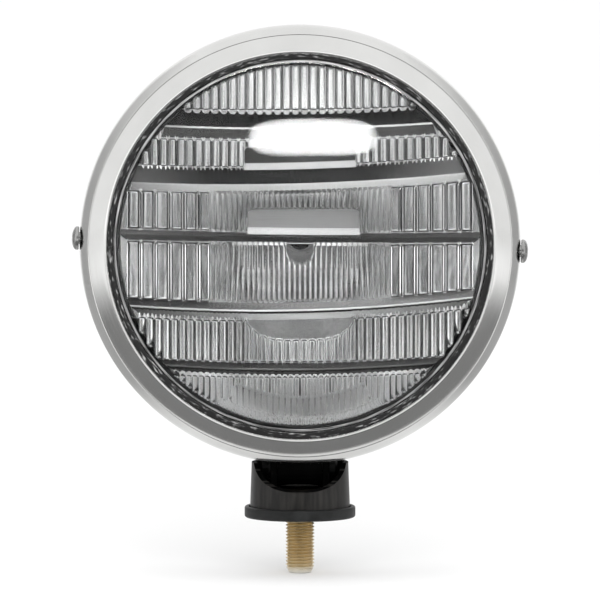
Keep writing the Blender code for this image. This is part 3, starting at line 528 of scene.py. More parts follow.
SEAL_RADII = (72.2, 77.2)
SEAL_HEEL_RADIUS = 73.2  # the seal reaches in to here behind the glass
SEAL_DEPTHS = (4.9, 12.9)
SEAL_LIP = 0.4
SEAL_GAP = 0.3  # between the glass and the groove that it sits in


def make_seal():
    """Rubber channel round the edge of the glass, with a rounded lip in front."""
    inner, outer = SEAL_RADII
    front, back = SEAL_DEPTHS
    groove = GLASS_EDGE_RADIUS + SEAL_GAP
    groove_front, groove_back = GLASS_EDGE_FRONT - SEAL_GAP, GLASS_EDGE_BACK + SEAL_GAP
    lip = arc((inner + SEAL_LIP, front + SEAL_LIP), SEAL_LIP, 90, 270, 6)
    outline = ([(groove, groove_front)] + lip
               + [(outer, front), (outer, back), (SEAL_HEEL_RADIUS, back),
                  (SEAL_HEEL_RADIUS, groove_back), (groove, groove_back)])
    seal = finish_piece("seal_bead", turned(behind(outline)), LAMP, seal_rubber, "lamp")
    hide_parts("lens_seal")


def bowl_arc(inset, steps=40):
    """The bowl's outline from its front edge to the axis, or the same line inside it."""
    points = []
    for step in range(steps + 1):
        turn = 0.5 * math.pi * step / steps
        radius = 0.0 if step == steps else (HOUSING_RADIUS - inset) * math.cos(turn)
        points.append((radius, BOWL_START_DEPTH + (BOWL_LENGTH - inset) * math.sin(turn)))
    return points


def make_bowl():
    inner = HOUSING_RADIUS - HOUSING_WALL
    outside = [(HOUSING_RADIUS, HOUSING_FRONT_DEPTH)] + bowl_arc(0.0)
    inside = list(reversed(bowl_arc(HOUSING_WALL))) + [(inner, HOUSING_FRONT_DEPTH)]
    bowl = finish_piece("lamp_bowl", turned(behind(outside + inside), 192), LAMP, bowl_metal, "lamp")
    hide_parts("housing")


FLANGE_RADII = (71.2, 76.6)
REFLECTOR_WALL = 0.9
NECK_DEPTH = 70.0


def make_reflector():
    """Paraboloid with a neck for the bulb and a flange that the clips press on."""
    steps = 60
    radii = [NECK_RADIUS + (REFLECTOR_RADIUS - NECK_RADIUS) * step / steps for step in range(steps + 1)]
    inside = [(radius, REFLECTOR_VERTEX_DEPTH - radius ** 2 / (4 * FOCAL_LENGTH)) for radius in radii]
    outside = [(radius + 0.75, depth + 0.5) for radius, depth in reversed(inside)]
    front, back = REFLECTOR_FRONT_DEPTH, REFLECTOR_FRONT_DEPTH + REFLECTOR_WALL
    flange = [(REFLECTOR_RADIUS, front), (FLANGE_RADII[1], front), (FLANGE_RADII[1], back),
              (FLANGE_RADII[0], back)]
    neck = [(NECK_RADIUS + REFLECTOR_WALL, NECK_DEPTH), (NECK_RADIUS, NECK_DEPTH)]
    dish = finish_piece("reflector_dish", turned(behind(inside + flange + outside[1:] + neck)), LAMP,
                        mirror, "lamp")
    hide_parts("reflector")


CAPSULE_RADIUS = 4.8
CAPSULE_WALL = 0.8
CAPSULE_TIP_DEPTH = 41.5
CAPSULE_END = 63.9
CAP_END = 44.0  # the glare cap covers the tip this far back
FILAMENT_DEPTH = 48.4
COIL_RADIUS = 0.75
COIL_HALF_LENGTH = 2.6
COIL_TURNS = 9
WIRE_RADIUS = 0.16


def make_bulb():
    """Clear capsule with a dark glare cap on its tip, and a coiled filament on two posts."""
    inner = CAPSULE_RADIUS - CAPSULE_WALL
    tip = CAPSULE_TIP_DEPTH + CAPSULE_RADIUS
    outer_tip = arc((0.0, tip), CAPSULE_RADIUS, 360, 270, 14)[:-1] + [(0.0, CAPSULE_TIP_DEPTH)]
    inner_tip = [(0.0, tip - inner)] + arc((0.0, tip), inner, 270, 360, 12)[1:]
    outline = [(CAPSULE_RADIUS, CAPSULE_END)] + outer_tip + inner_tip + [(inner, CAPSULE_END)]
    capsule = finish_piece("capsule_glass", turned(behind(outline), 64), LAMP, bulb_glass, "lamp", 60)
    capsule.data.materials.append(bulb_cap)
    for face in capsule.data.polygons:
        spot = (face.center - LAMP_ORIGIN) / MM
        from_tip = (spot - Vector((0.0, tip, 0.0))).length
        if spot.y < CAP_END and from_tip > CAPSULE_RADIUS - 0.5 * CAPSULE_WALL:
            face.material_index = 1
    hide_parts("bulb_capsule")

    steps = COIL_TURNS * 16
    post_foot = 0.2 - CAPSULE_END
    points = [(-COIL_HALF_LENGTH, -COIL_RADIUS, post_foot)]
    for step in range(steps + 1):
        turn = 2 * math.pi * COIL_TURNS * step / steps - 0.5 * math.pi
        points.append((COIL_HALF_LENGTH * (2 * step / steps - 1), COIL_RADIUS * math.sin(turn),
                       COIL_RADIUS * math.cos(turn) - FILAMENT_DEPTH))
    points.append((COIL_HALF_LENGTH, -COIL_RADIUS, post_foot))
    filament = finish_piece("filament_coil", wire(points, WIRE_RADIUS), LAMP, tungsten, "lamp", 60)
    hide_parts("bulb_filament")


# ---- the moulded pattern in the glass

def louver_line(height, name, x):
    """Height of a louver's edge at a place along it."""
    _, _, _, sag, roll = LOUVERS[name]
    return height + sag * (x / LOUVER_RADIUS) ** 2 + x * np.tan(math.radians(roll))


RIB_HEIGHT = 0.62  # of a rib's half width
FINE_RIB_HEIGHT = 0.32


def rib_profile(distance, half_width, height=RIB_HEIGHT):
    """Thickness that a rib adds at a distance from its middle: a round back with steep flanks."""
    inside = np.clip(1.0 - (distance / half_width) ** 2, 0.0, 1.0)
    return height * half_width * np.sqrt(inside)


def rib_bulge(x, y, pitch, share, height=RIB_HEIGHT):
    """Ribs of one pitch side by side, each with a round end on the circle where they stop."""
    half_width = 0.5 * share * pitch
    middle = (np.floor(x / pitch) + 0.5) * pitch
    reach = np.sqrt(np.maximum(0.0, RIB_RADIUS ** 2 - middle ** 2)) - 0.35 * half_width
    past_end = np.maximum(0.0, np.abs(y) - reach)
    bulge = rib_profile(np.hypot(x - middle, past_end), half_width, height)
    return np.where(np.abs(middle) + half_width < RIB_RADIUS, bulge, 0.0)


SIDE_BLOCK = 34.8  # the coarse flutes of the middle rows start here
# (pitch in the middle, pitch at the sides, share of the pitch that a rib fills), from the top row down
RIB_ROWS = [
    (3.43, 3.43, 0.80), (3.37, 3.37, 0.80), (2.0, 5.54, 0.9), (2.0, 5.54, 0.9), (3.1, 3.1, 0.84),
    (2.3, 2.3, 0.86),
]
ROW_PARTS = (44, 26, 30, 30, 30, 44)  # steps down each row
ROW_END = 0.6  # the ribs slope down to plain glass over this height


def ribs(x, y, row):
    middle, side, share = RIB_ROWS[row]
    bulge = rib_bulge(x, y, middle, share, RIB_HEIGHT if side == middle else FINE_RIB_HEIGHT)
    if side != middle:
        bulge = np.where(np.abs(x) > SIDE_BLOCK, rib_bulge(x, y, side, share), bulge)
    return bulge


STRIP_MARGINS = {  # plain glass above each louver; louver_4's flutes run over its edge
    "louver_1": 0.75, "louver_2": 0.75, "louver_3": 0.45, "louver_4": 0.1, "louver_5": 0.5,
}


def glass_rows(x):
    """(top, bottom) height of each row of flutes above the place x."""
    names = list(LOUVERS)
    past_glass = np.full_like(x, GLASS_DOME_RADIUS)
    tops = [past_glass] + [louver_line(LOUVERS[name][2], name, x) for name in names]
    bottoms = [louver_line(LOUVERS[name][0] + STRIP_MARGINS[name], name, x) for name in names]
    bottoms.append(-past_glass)
    return list(zip(tops, bottoms))


TAB_PLAIN_BELOW = 3.0  # the glass is plain in front of a tab, down to this far below its louver's top
BULB_WINDOW = 5.3  # radius of the plain spot in front of the bulb
BULB_WINDOW_HEIGHT = -0.6
LOBE_BOTTOM = -35.6  # the plain lobe hanging below louver_4
LOBE_HALF_WIDTHS = (20.2, 14.0)
PAD_RADII = (59.0, 65.8)  # the plain arc low in the glass
PAD_HALF_ANGLE = 0.42
PAD_RIPPLE = 0.35  # the ribs run on faintly across the arc
PAD_FADE = 1.6
TEETH_PITCH = 1.75
TEETH_SHARE = 0.84
TEETH_MARGIN = 0.06  # radians past each end of the arc
GROOVE_SHARE = 0.56  # the glass is tinted dark, as painted shade in a groove, where a rib is lower than this share of its height
WIDE_GROOVE_SHARE = 0.78  # the same for the coarse flutes at the sides
TOP_GROOVE_SHARE = 0.69  # and for the top row
WIDE_PITCH = 5.0
COARSE_PITCH = 3.0  # finer ribs have no grooves between them


def in_groove_shade(x, y, row):
    """Where the glass in the sharp valleys between the coarse ribs is tinted dark, as painted shade."""
    middle, side, share = RIB_ROWS[row]
    pitch = np.where(np.abs(x) > SIDE_BLOCK, side, middle)
    narrow = TOP_GROOVE_SHARE if row == 0 else GROOVE_SHARE
    limit = np.where(pitch > WIDE_PITCH, WIDE_GROOVE_SHARE, narrow) * rib_profile(0.0, 0.5 * share * pitch)
    low = (ribs(x, y, row) < limit) & (pattern_strength(x, y) > 0.9)
    coarse = (pitch > COARSE_PITCH) & (np.abs(x) < RIB_RADIUS - 0.45 * pitch)
    if row == 4:
        coarse &= np.abs(x) > LOBE_HALF_WIDTHS[0]
    return low & coarse


def soft_step(value, width=0.3):
    """0 below zero, 1 above the width."""
    return np.clip(value / width, 0.0, 1.0)


def pattern_strength(x, y):
    """1 where the glass is fluted and 0 where it is plain."""
    shown = np.ones_like(x)
    for name, (middle, width, top) in TABS.items():
        below = np.where(y < LOUVERS[name][0] - TAB_PLAIN_BELOW, 1.0, 0.0)
        beside = soft_step(np.abs(x - middle) - 0.5 * width)
        shown *= np.maximum(np.maximum(beside, soft_step(y - top)), below)
    shown *= soft_step(np.hypot(x, y - BULB_WINDOW_HEIGHT) - BULB_WINDOW)
    louver_bottom = LOUVERS["louver_4"][2]
    down = np.clip((louver_bottom - y) / (louver_bottom - LOBE_BOTTOM), 0.0, 1.0)
    half_width = LOBE_HALF_WIDTHS[0] + (LOBE_HALF_WIDTHS[1] - LOBE_HALF_WIDTHS[0]) * down ** 2
    in_lobe = (y > LOBE_BOTTOM - 1.0) & (y < louver_bottom + 4.0)
    rounded = LOBE_BOTTOM + 1.5 * (np.abs(x) / LOBE_HALF_WIDTHS[1]) ** 4
    outside = np.maximum(soft_step(np.abs(x) - half_width), soft_step(rounded - y))
    shown *= np.where(in_lobe, outside, 1.0)
    radius = np.hypot(x, y)
    off_down = np.abs(np.arctan2(x, -y))
    ring = np.maximum(soft_step(PAD_RADII[0] - radius, PAD_FADE), soft_step(radius - PAD_RADII[1]))
    beside = soft_step((off_down - PAD_HALF_ANGLE) * radius, PAD_FADE)
    shown *= np.where(y < 0.0, np.maximum(np.maximum(ring, PAD_RIPPLE), beside), 1.0)
    return shown


def teeth(x, y):
    """Short radial teeth under the plain arc: (bulge, where they stand instead of flutes)."""
    radius = np.hypot(x, y)
    off_down = np.arctan2(x, -y)
    here = (y < 0.0) & (radius > PAD_RADII[1]) & (np.abs(off_down) < PAD_HALF_ANGLE + TEETH_MARGIN)
    arc_length = off_down * RIB_RADIUS
    across = (arc_length / TEETH_PITCH - np.floor(arc_length / TEETH_PITCH) - 0.5) * TEETH_PITCH
    half_width = 0.5 * TEETH_SHARE * TEETH_PITCH
    past_end = np.maximum(0.0, radius - RIB_RADIUS + half_width)
    return rib_profile(np.hypot(across, past_end), half_width), here


EDGE_ROUND = 0.9  # the dome turns down into its flat edge
EDGE_CHAMFER = 0.4
GRID_STEP = 0.25  # of the fluted side, from left to right
WELD = 0.0005


def arc_behind_dome_edge():
    """The rounded shoulder between the dome and the flat edge of the glass."""
    start = GLASS_DOME_EDGE - EDGE_ROUND
    depth = glass_outer_depth(start)
    drop = GLASS_EDGE_FRONT - depth
    turns = [math.radians(angle) for angle in (25, 50, 75, 90)]
    return [(start + EDGE_ROUND * math.sin(turn), depth + drop * (1 - math.cos(turn))) for turn in turns]


def fluted_lines(xs, limit):
    """Lines across the glass from the top down: (heights, strength of the flutes, row)."""
    lines = []
    for row, (top, bottom) in enumerate(glass_rows(xs)):
        top, bottom = np.clip(top, -limit, limit), np.clip(bottom, -limit, limit)
        end = np.minimum(0.4 * (top - bottom), ROW_END)
        inner_top, inner_bottom = top - end, bottom + end
        parts = ROW_PARTS[row]
        lines += [(top, 0.0, row), (top - 0.3 * end, 0.6, row)]
        lines += [(inner_top + (inner_bottom - inner_top) * part / parts, 1.0, row)
                  for part in range(parts + 1)]
        lines += [(bottom + 0.3 * end, 0.6, row), (bottom, 0.0, row)]
    return lines


def fluted_back():
    """The inside of the glass as an open sheet, as a bmesh."""
    count = int(2 * FLUTED_RADIUS / GRID_STEP)
    xs = np.linspace(-FLUTED_RADIUS, FLUTED_RADIUS, count + 1)
    limit = np.sqrt(np.maximum(0.0, FLUTED_RADIUS ** 2 - xs ** 2))
    grid, groove_shade_masks = [], []
    for height, strength, row in fluted_lines(xs, limit):
        y = np.clip(height, -limit, limit)
        depth = glass_inner_depth(np.hypot(xs, y))
        bulge = ribs(xs, y, row)
        if row == len(RIB_ROWS) - 1:
            tooth, here = teeth(xs, y)
            bulge = np.where(here, tooth, bulge)
        depth = depth + bulge * strength * pattern_strength(xs, y)
        grid.append(np.stack([xs, y, -depth], axis=1))
        groove_shade_masks.append(in_groove_shade(0.5 * (xs[:-1] + xs[1:]), 0.5 * (y[:-1] + y[1:]), row) & (strength > 0.9))
    bm = bmesh.new()
    verts = [[bm.verts.new(point) for point in line] for line in grid]
    for line, following, groove in zip(verts, verts[1:], groove_shade_masks):
        for index in range(count):
            face = bm.faces.new((line[index], line[index + 1], following[index + 1], following[index]))
            face.material_index = 2 if groove[index] else 0
    bmesh.ops.remove_doubles(bm, verts=bm.verts, dist=WELD)
    return bm


def make_glass():
    """The outside is one smooth dome; the inside carries the rows of flutes."""
    bm = fluted_back()
    rim_verts = {vert for edge in bm.edges if edge.is_boundary for vert in edge.verts}
    inner_ring = sorted(rim_verts, key=lambda vert: math.atan2(vert.co.y, vert.co.x))

    dome_end = GLASS_DOME_EDGE - EDGE_ROUND
    outline = [(dome_end * part / 48, glass_outer_depth(dome_end * part / 48)) for part in range(49)]
    outline += arc_behind_dome_edge()
    outline += [(GLASS_EDGE_RADIUS - EDGE_CHAMFER, GLASS_EDGE_FRONT),
                (GLASS_EDGE_RADIUS, GLASS_EDGE_FRONT + EDGE_CHAMFER),
                (GLASS_EDGE_RADIUS, GLASS_EDGE_BACK), (FLUTED_RADIUS + 0.3, GLASS_EDGE_BACK)]
    rings = [ring_of(bm, radius, height, FINE, -math.pi) for radius, height in behind(outline)]
    for ring, following in zip(rings, rings[1:]):
        bridge(bm, ring, following)
    join_rings(bm, rings[-1], inner_ring)
    glass = finish_piece("lens_glass", bm, LAMP, lens_glass, "lamp", 60)
    glass.data.materials.append(make_ground_edge())
    glass.data.materials.append(groove_shade_glass)
    for face in glass.data.polygons:
        spot = (face.center - LAMP_ORIGIN) / MM
        radius = math.hypot(spot.x, spot.z)
        if GLASS_DOME_EDGE - EDGE_ROUND < radius < GLASS_DOME_EDGE and spot.y < GLASS_EDGE_FRONT + 0.2:
            face.material_index = 1
    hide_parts("lens")
    return glass


def join_rings(bm, ring, other):
    """Fill between two closed rings, each sorted by its angle, that hold different numbers of points."""
    def angle(vert, turns):
        return math.atan2(vert.co.y, vert.co.x) + 2 * math.pi * turns
    i = j = 0
    while i < len(ring) or j < len(other):
        a, b = ring[i % len(ring)], other[j % len(other)]
        next_a = ring[(i + 1) % len(ring)]
        next_b = other[(j + 1) % len(other)]
        angle_a = angle(next_a, (i + 1) // len(ring))
        angle_b = angle(next_b, (j + 1) // len(other))
        if j >= len(other) or (i < len(ring) and angle_a <= angle_b):
            bm.faces.new((a, next_a, b))
            i += 1
        else:
            bm.faces.new((a, next_b, b))
            j += 1


# ---- louvers and their ring

def make_louver_ring():
    """The black ring that carries the louvers, close behind the glass."""
    inner, wall, outer = 69.25, 70.6, 75.8
    front, step, back = 9.8, 13.2, 14.2
    edge = 0.3
    outline = [(inner, front + edge), (inner + edge, front), (wall - edge, front), (wall, front + edge),
               (wall, step), (outer, step), (outer, back), (inner, back)]
    ring = finish_piece("louver_ring", turned(behind(outline)), LAMP, ring_black, "lamp")
    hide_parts("louver_frame")


def louver_end(height, sag, roll, side):
    x = side * LOUVER_RADIUS
    for _ in range(12):
        x = side * math.sqrt(LOUVER_RADIUS ** 2 - (height + sag + x * math.tan(roll)) ** 2)
    return x


LOUVER_BACKING = 0.8  # how thick the strips are, front to back
LIP_ABOVE = 0.4  # the lip along the fold, painted bright as a highlight
LIP_BELOW = 0.35
GROOVE_BELOW = 1.15  # the band under it, painted near black as shade, ends here


def louver_section(along, top, fold, bottom, sag, roll):
    """Outline of the folded strip at one place along it, from -1 at its left end to 1."""
    upper, lower = top - fold, fold - bottom
    face = [(top, UPPER_SLOPE * upper, 0.0), (fold + LIP_ABOVE, UPPER_SLOPE * LIP_ABOVE, 0.0),
            (fold, 0.0, 0.0), (fold - LIP_BELOW, 0.05, 0.05 * MITRE),
            (fold - GROOVE_BELOW, LOWER_SLOPE * GROOVE_BELOW, 0.3 * MITRE),
            (bottom + LIP_ABOVE, LOWER_SLOPE * lower, 0.9 * MITRE),
            (bottom, LOWER_SLOPE * lower + 0.2, MITRE)]
    front, back = [], []
    for height, extra, mitre in face:
        left, right = (louver_end(height, sag, roll, side) for side in (-1, 1))
        x = 0.5 * (left + right) + 0.5 * (right - left) * along * (1.0 - mitre)
        y = height + sag * along ** 2 + x * math.tan(roll)
        depth = glass_inner_depth(math.hypot(x, y)) + LOUVER_CLEARANCE + extra
        front.append((x, y, -depth))
        back.append((x, y, -depth - LOUVER_BACKING))
    return front + back[::-1]


# The finish of each strip down a louver's face: upper facet, lip above and below the fold,
# band under the lip, lower facet, bottom edge. 'edge' is a painted highlight, 'gap' painted shade, and the
# facet tones are painted shade and light.
LOUVER_BANDS = {
    "louver_1": ("upper", "edge", "edge", "lower", "lower", "lower"),
    "louver_2": ("upper", "upper", "lower", "lower", "lower", "lower"),
    "louver_3": ("upper", "upper", "upper", "upper", "upper", "edge"),
    "louver_4": ("upper", "edge", "edge", "gap", "lower", "lower"),
    "louver_5": ("upper", "lower", "lower", "gap", "lower", "lower"),
}
LOUVER_FINISHES = ("upper", "lower", "edge", "gap", "back")
# These tones are painted shade and painted light: the upper facets are painted dark as shade, the lower
# facets lighter as lit, and the drift along each strip copies how light falls on it.
LOUVER_TONES = {  # (upper facet, lower facet): tones from left to right
    "louver_1": ((0.005, 0.004, 0.005), (0.020, 0.028, 0.024)),
    "louver_2": ((0.035, 0.005, 0.004, 0.006, 0.04), (0.09, 0.22, 0.27, 0.27, 0.22)),
    "louver_3": ((0.030, 0.012, 0.010, 0.010, 0.018), (0.014, 0.014, 0.014)),
    "louver_4": ((0.010, 0.018, 0.055, 0.062, 0.045), (0.030, 0.12, 0.29, 0.20, 0.09)),
    "louver_5": ((0.008, 0.010, 0.009), (0.018, 0.048, 0.022)),
}


def make_louver(name):
    """A folded strip, and the tab that stands on it if it has one."""
    top, fold, bottom, sag, roll = LOUVERS[name]
    roll = math.radians(roll)
    steps = 96
    places = [2 * step / steps - 1 for step in range(steps + 1)]
    sections = [louver_section(along, top, fold, bottom, sag, roll) for along in places]
    upper_tones, lower_tones = LOUVER_TONES[name]
    louver = finish_piece(f"{name}_strip", skinned(sections), LAMP,
                          make_louver_finish(f"{name}_upper", upper_tones, 0.30), "lamp")
    lower = make_louver_finish(f"{name}_lower", lower_tones, 0.26)
    for finish in (lower, louver_lip_highlight, louver_groove_shade, louver_back):
        louver.data.materials.append(finish)
    loop = len(sections[0])
    bands = LOUVER_BANDS[name] + (loop - len(LOUVER_BANDS[name])) * ("back",)
    for face in louver.data.polygons[:steps * loop]:
        face.material_index = LOUVER_FINISHES.index(bands[face.index % loop])
    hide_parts(name)
    if name in TABS:
        make_tab(name)


# Painted shade and light: the tab on louver_2 is painted dark as shade, the one on louver_3 lighter as lit.
TAB_TONES = {"louver_2": (0.018, 0.012, 0.014), "louver_3": (0.055, 0.068, 0.060)}
FOOT_HEIGHT = 2.6  # the foot along the base of a tab, painted bright as a highlight
FOOT_REACH = 0.9
TAB_ROOT = 0.8  # a tab starts this far below its louver's top edge


def tab_face(name, x, height):
    """(the louver's top edge, depth of the tab's front): flat, with a foot that slopes out."""
    top, fold = LOUVERS[name][:2]
    edge = louver_line(top, name, x)
    base = glass_inner_depth(math.hypot(x, edge)) + LOUVER_CLEARANCE + UPPER_SLOPE * (top - fold)
    foot = max(0.0, 1.0 - max(0.0, height - edge + TAB_ROOT) / FOOT_HEIGHT)
    return edge, base - FOOT_REACH * foot


def make_tab(name):
    """An upright tab with rounded top corners in front of the bulb."""
    middle, width, tab_top = TABS[name]
    corner_steps = 8
    insets = [TAB_CORNER * (1 - math.cos(0.5 * math.pi * step / corner_steps))
              for step in range(corner_steps + 1)]
    offsets = [width / 2 - inset for inset in insets] + [width / 3, width / 6, 0.0]
    loops = []
    for offset in sorted({side * offset for offset in offsets for side in (-1, 1)}):
        x = middle + offset
        past = max(0.0, abs(offset) - (width / 2 - TAB_CORNER))
        head = tab_top - TAB_CORNER + math.sqrt(max(0.0, TAB_CORNER ** 2 - past ** 2))
        edge, _ = tab_face(name, x, head)
        heights = [head, edge + FOOT_HEIGHT - TAB_ROOT, edge + 0.5, edge - TAB_ROOT]
        front = [(x, height, -tab_face(name, x, height)[1]) for height in heights]
        back = [(x, height, -tab_face(name, x, head)[1] - LOUVER_BACKING) for height in (heights[-1], head)]
        loops.append(front + back)
    tab = finish_piece(f"{name}_tab", skinned(loops), LAMP,
                       make_louver_finish(f"{name}_tab", TAB_TONES[name], 0.3), "lamp", 20)
    tab.data.materials.append(tab_foot_highlight)
    tab.data.materials.append(louver_back)
    loop = len(loops[0])
    for face in tab.data.polygons[:(len(loops) - 1) * loop]:
        # The foot's faces carry the painted highlight; the back is bright metal.
        face.material_index = {1: 1, 2: 1, 4: 2}.get(face.index % loop, 0)


# ---- side screws

SCREW_HEAD_RADIUS = 4.55
SCREW_HEAD_HEIGHT = 2.75
SCREW_SEAT = RIM_RADIUS + 0.25
SCREW_BRIM = 0.8
SCREW_SHANK_RADIUS = 2.4
SCREW_TIP = 77.9
SCREW_DEPTH = 12.0
SCREW_ROLL = math.radians(-1.7)
RECESS_RADIUS = 1.75
RECESS_HALF_WIDTH = 0.42
RECESS_FLOOR = 1.9


def side_screw_outline():
    """Domed head with a rounded brim on a plain shank, as (radius, distance from the lamp's axis)."""
    dome = SCREW_HEAD_HEIGHT - SCREW_BRIM
    outline = [(0.0, SCREW_SEAT + SCREW_HEAD_HEIGHT)]
    for angle in range(8, 92, 6):
        turn = math.radians(angle)
        outline.append((SCREW_HEAD_RADIUS * math.sin(turn), SCREW_SEAT + SCREW_BRIM + dome * math.cos(turn)))
    return outline + [(SCREW_HEAD_RADIUS, SCREW_SEAT + 0.3), (SCREW_HEAD_RADIUS - 0.3, SCREW_SEAT),
                      (SCREW_SHANK_RADIUS, SCREW_SEAT), (SCREW_SHANK_RADIUS, SCREW_TIP), (0.0, SCREW_TIP)]


def cut_away(target, cutter_mesh, matrix):
    """Cut a bmesh drawn in millimetres out of a piece."""
    bmesh.ops.recalc_face_normals(cutter_mesh, faces=cutter_mesh.faces)
    bmesh.ops.transform(cutter_mesh, matrix=matrix, verts=cutter_mesh.verts)
    mesh = bpy.data.meshes.new("cutter")
    cutter_mesh.to_mesh(mesh)
    cutter_mesh.free()
    cutter = bpy.data.objects.new("cutter", mesh)
    bpy.context.scene.collection.objects.link(cutter)
    step = target.modifiers.new("cut", "BOOLEAN")
    step.operation = "DIFFERENCE"
    step.solver = "EXACT"
    step.object = cutter
    shaped = bpy.data.meshes.new_from_object(target.evaluated_get(bpy.context.evaluated_depsgraph_get()))
    target.modifiers.clear()
    target.data = shaped
    shade(shaped, 30)
    bpy.data.objects.remove(cutter, do_unlink=True)


def box_mesh(x, y, low, high):
    corners = [(-x, -y), (x, -y), (x, y), (-x, y)]
    return skinned([[(px, py, height) for px, py in corners] for height in (low, high)])


def make_side_screws():
    for side, turn in (("left", -0.5 * math.pi), ("right", 0.5 * math.pi)):
        place = (LAMP @ Matrix.Translation((0.0, 0.0, -SCREW_DEPTH)) @ Matrix.Rotation(SCREW_ROLL, 4, "Z")
                 @ Matrix.Rotation(turn, 4, "Y"))
        blank = turned(side_screw_outline(), 64)
        screw = finish_piece(f"screw_{side}", blank, place, screw_metal, "lamp", 30)
        for x, y in ((RECESS_RADIUS, RECESS_HALF_WIDTH), (RECESS_HALF_WIDTH, RECESS_RADIUS)):
            cut_away(screw, box_mesh(x, y, SCREW_SEAT + RECESS_FLOOR, SCREW_SEAT + 4.0), place)
        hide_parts(f"side_screw_{side}")


# ---- mount

THREAD_PITCH = 1.27
THREAD_DEPTH = 0.75
THREAD_END = 4.0
THREAD_RUNOUT = 2.0  # the thread fades out over this length
THREAD_STEPS = 12  # rows of points in each pitch
GROOVE_HALF_SHARE = 0.44  # half the share of the pitch that the groove takes up
GROOVE_SHARPNESS = 1.12  # above 1 the groove has a flat floor
TIP_RADIUS = 4.25
TIP_LENGTH = 2.7
STUD_HEAD = [(STUD_RADIUS, 8.3), (8.4, 8.3), (8.4, 11.0), (7.4, 12.0)]


def thread_radius(height, turn_share):
    """Radius of the stud at a height, and at a share of a full turn."""
    phase = (height / THREAD_PITCH - turn_share) % 1.0
    groove = min(1.0, GROOVE_SHARPNESS * max(0.0, 1.0 - abs(phase - 0.5) / GROOVE_HALF_SHARE))
    chamfer = TIP_RADIUS + (height - STUD_TIP) * (STUD_RADIUS - TIP_RADIUS) / TIP_LENGTH
    radius = min(STUD_RADIUS - THREAD_DEPTH * groove, chamfer)
    fade = min(1.0, max(0.0, (THREAD_END - height) / THREAD_RUNOUT)) if height > 0 else 1.0
    return STUD_RADIUS + (radius - STUD_RADIUS) * fade


def make_stud():
    """Shank with a helical thread, a chamfered tip and a round head."""
    shares = [part / MEDIUM for part in range(MEDIUM)]
    rows = [[(thread_radius(height, share), height) for share in shares]
            for height in np.arange(STUD_TIP, THREAD_END, THREAD_PITCH / THREAD_STEPS)]
    rows += [[end] * MEDIUM for end in STUD_HEAD]
    loops = [[(radius * math.cos(2 * math.pi * share), radius * math.sin(2 * math.pi * share), height)
              for share, (radius, height) in zip(shares, row)] for row in rows]
    stud = finish_piece("threaded_stud", skinned(loops), MOUNT, zinc_yellow, "base", 50)
    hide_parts("mount_stud")


PAD_FOOT = ((20.6, 0.9), 0.9)  # centre and radius of each rounding
PAD_SHOULDER = ((20.7, 3.6), 0.8)
PAD_LIP = ((20.2, 4.0), 0.4)
PAD_FLOOR = 2.2
PAD_FLOOR_RADIUS = 19.8


def make_pad():
    """Rubber dish that the cup stands in."""
    outline = ([(HOLE_RADIUS, 0.0)] + arc(*PAD_FOOT, 270, 360, 6) + arc(*PAD_SHOULDER, 0, 90, 6)
               + arc(*PAD_LIP, 90, 180, 3) + [(PAD_FLOOR_RADIUS, PAD_FLOOR), (HOLE_RADIUS, PAD_FLOOR)])
    pad = finish_piece("rubber_pad", turned(outline, 192), MOUNT, pad_rubber, "base")
    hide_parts("mount_pad")


CUP_OUTSIDE = [(19.45, 2.5), (18.75, 21.5)]
CUP_INSIDE = [(17.05, 21.5), (17.75, 4.1)]
CUP_INSIDE_RADIUS = 18.1  # every point within this radius and above the floor is inside the cup
SCOOP_RADIUS = 37.0
SCOOP_HALF_LENGTH = 30.0
SCOOP_CENTRE = Vector((0.0, -34.0, 44.9))


def make_cup():
    """Tapered cup with a relief scooped out of its front."""
    floor_bottom, floor_top = CUP_OUTSIDE[0][1], CUP_INSIDE[1][1]
    outline = [(HOLE_RADIUS, floor_bottom)] + CUP_OUTSIDE + CUP_INSIDE + [(HOLE_RADIUS, floor_top)]
    cup = finish_piece("cup_shell", turned(outline, 192), MOUNT, cup_black, "swivel")
    place = Matrix.Translation(SCOOP_CENTRE * MM) @ Matrix.Rotation(0.5 * math.pi, 4, "Y")
    low, high = -SCOOP_HALF_LENGTH, SCOOP_HALF_LENGTH
    scoop = turned([(0.0, low), (SCOOP_RADIUS, low), (SCOOP_RADIUS, high), (0.0, high)])
    cut_away(cup, scoop, place @ MOUNT)
    cup.data.materials.append(black_paint)
    # Painted shade: the faces inside the cup are painted near black, darker than its outside.
    for face in cup.data.polygons:
        middle = face.center / MM
        if math.hypot(middle.x, middle.y) < CUP_INSIDE_RADIUS and middle.z > floor_top - 0.1:
            face.material_index = 1
    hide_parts("mount_cup")


# ---- carried-over CAD nodes

def dress(finish, *names):
    for name in names:
        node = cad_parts[name]
        node.data.materials.clear()
        node.data.materials.append(finish)


# ---- stage

def flat_sheet(name, corners, material):
    mesh = bpy.data.meshes.new(name)
    mesh.from_pydata(corners, [], [(0, 1, 2, 3)])
    mesh.materials.append(material)
    sheet = bpy.data.objects.new(name, mesh)
    bpy.context.scene.collection.objects.link(sheet)
    return sheet


def level_corners(x_low, x_high, y_low, y_high, z):
    return [(x_low, y_low, z), (x_high, y_low, z), (x_high, y_high, z), (x_low, y_high, z)]


FLOOR_TONE = 0.93
FLOOR_HALF_SIZE = 12.0
FRONT_CARD = (0.56, -0.40, -0.043)  # half width, and from where to where in Y
CARD_HALF_WIDTH = 0.5
CARD_GAP = 0.06  # the floor cards start this far beside the middle
CARD_START, CARD_END = -0.03, 0.9
CARD_TOP = 0.95
CARD_RISE = 0.001  # above the floor
FRONT_TONE = 0.20
SIDE_TONE = 0.40
BACK_FADE = ("Y", 0.40, 0.80)


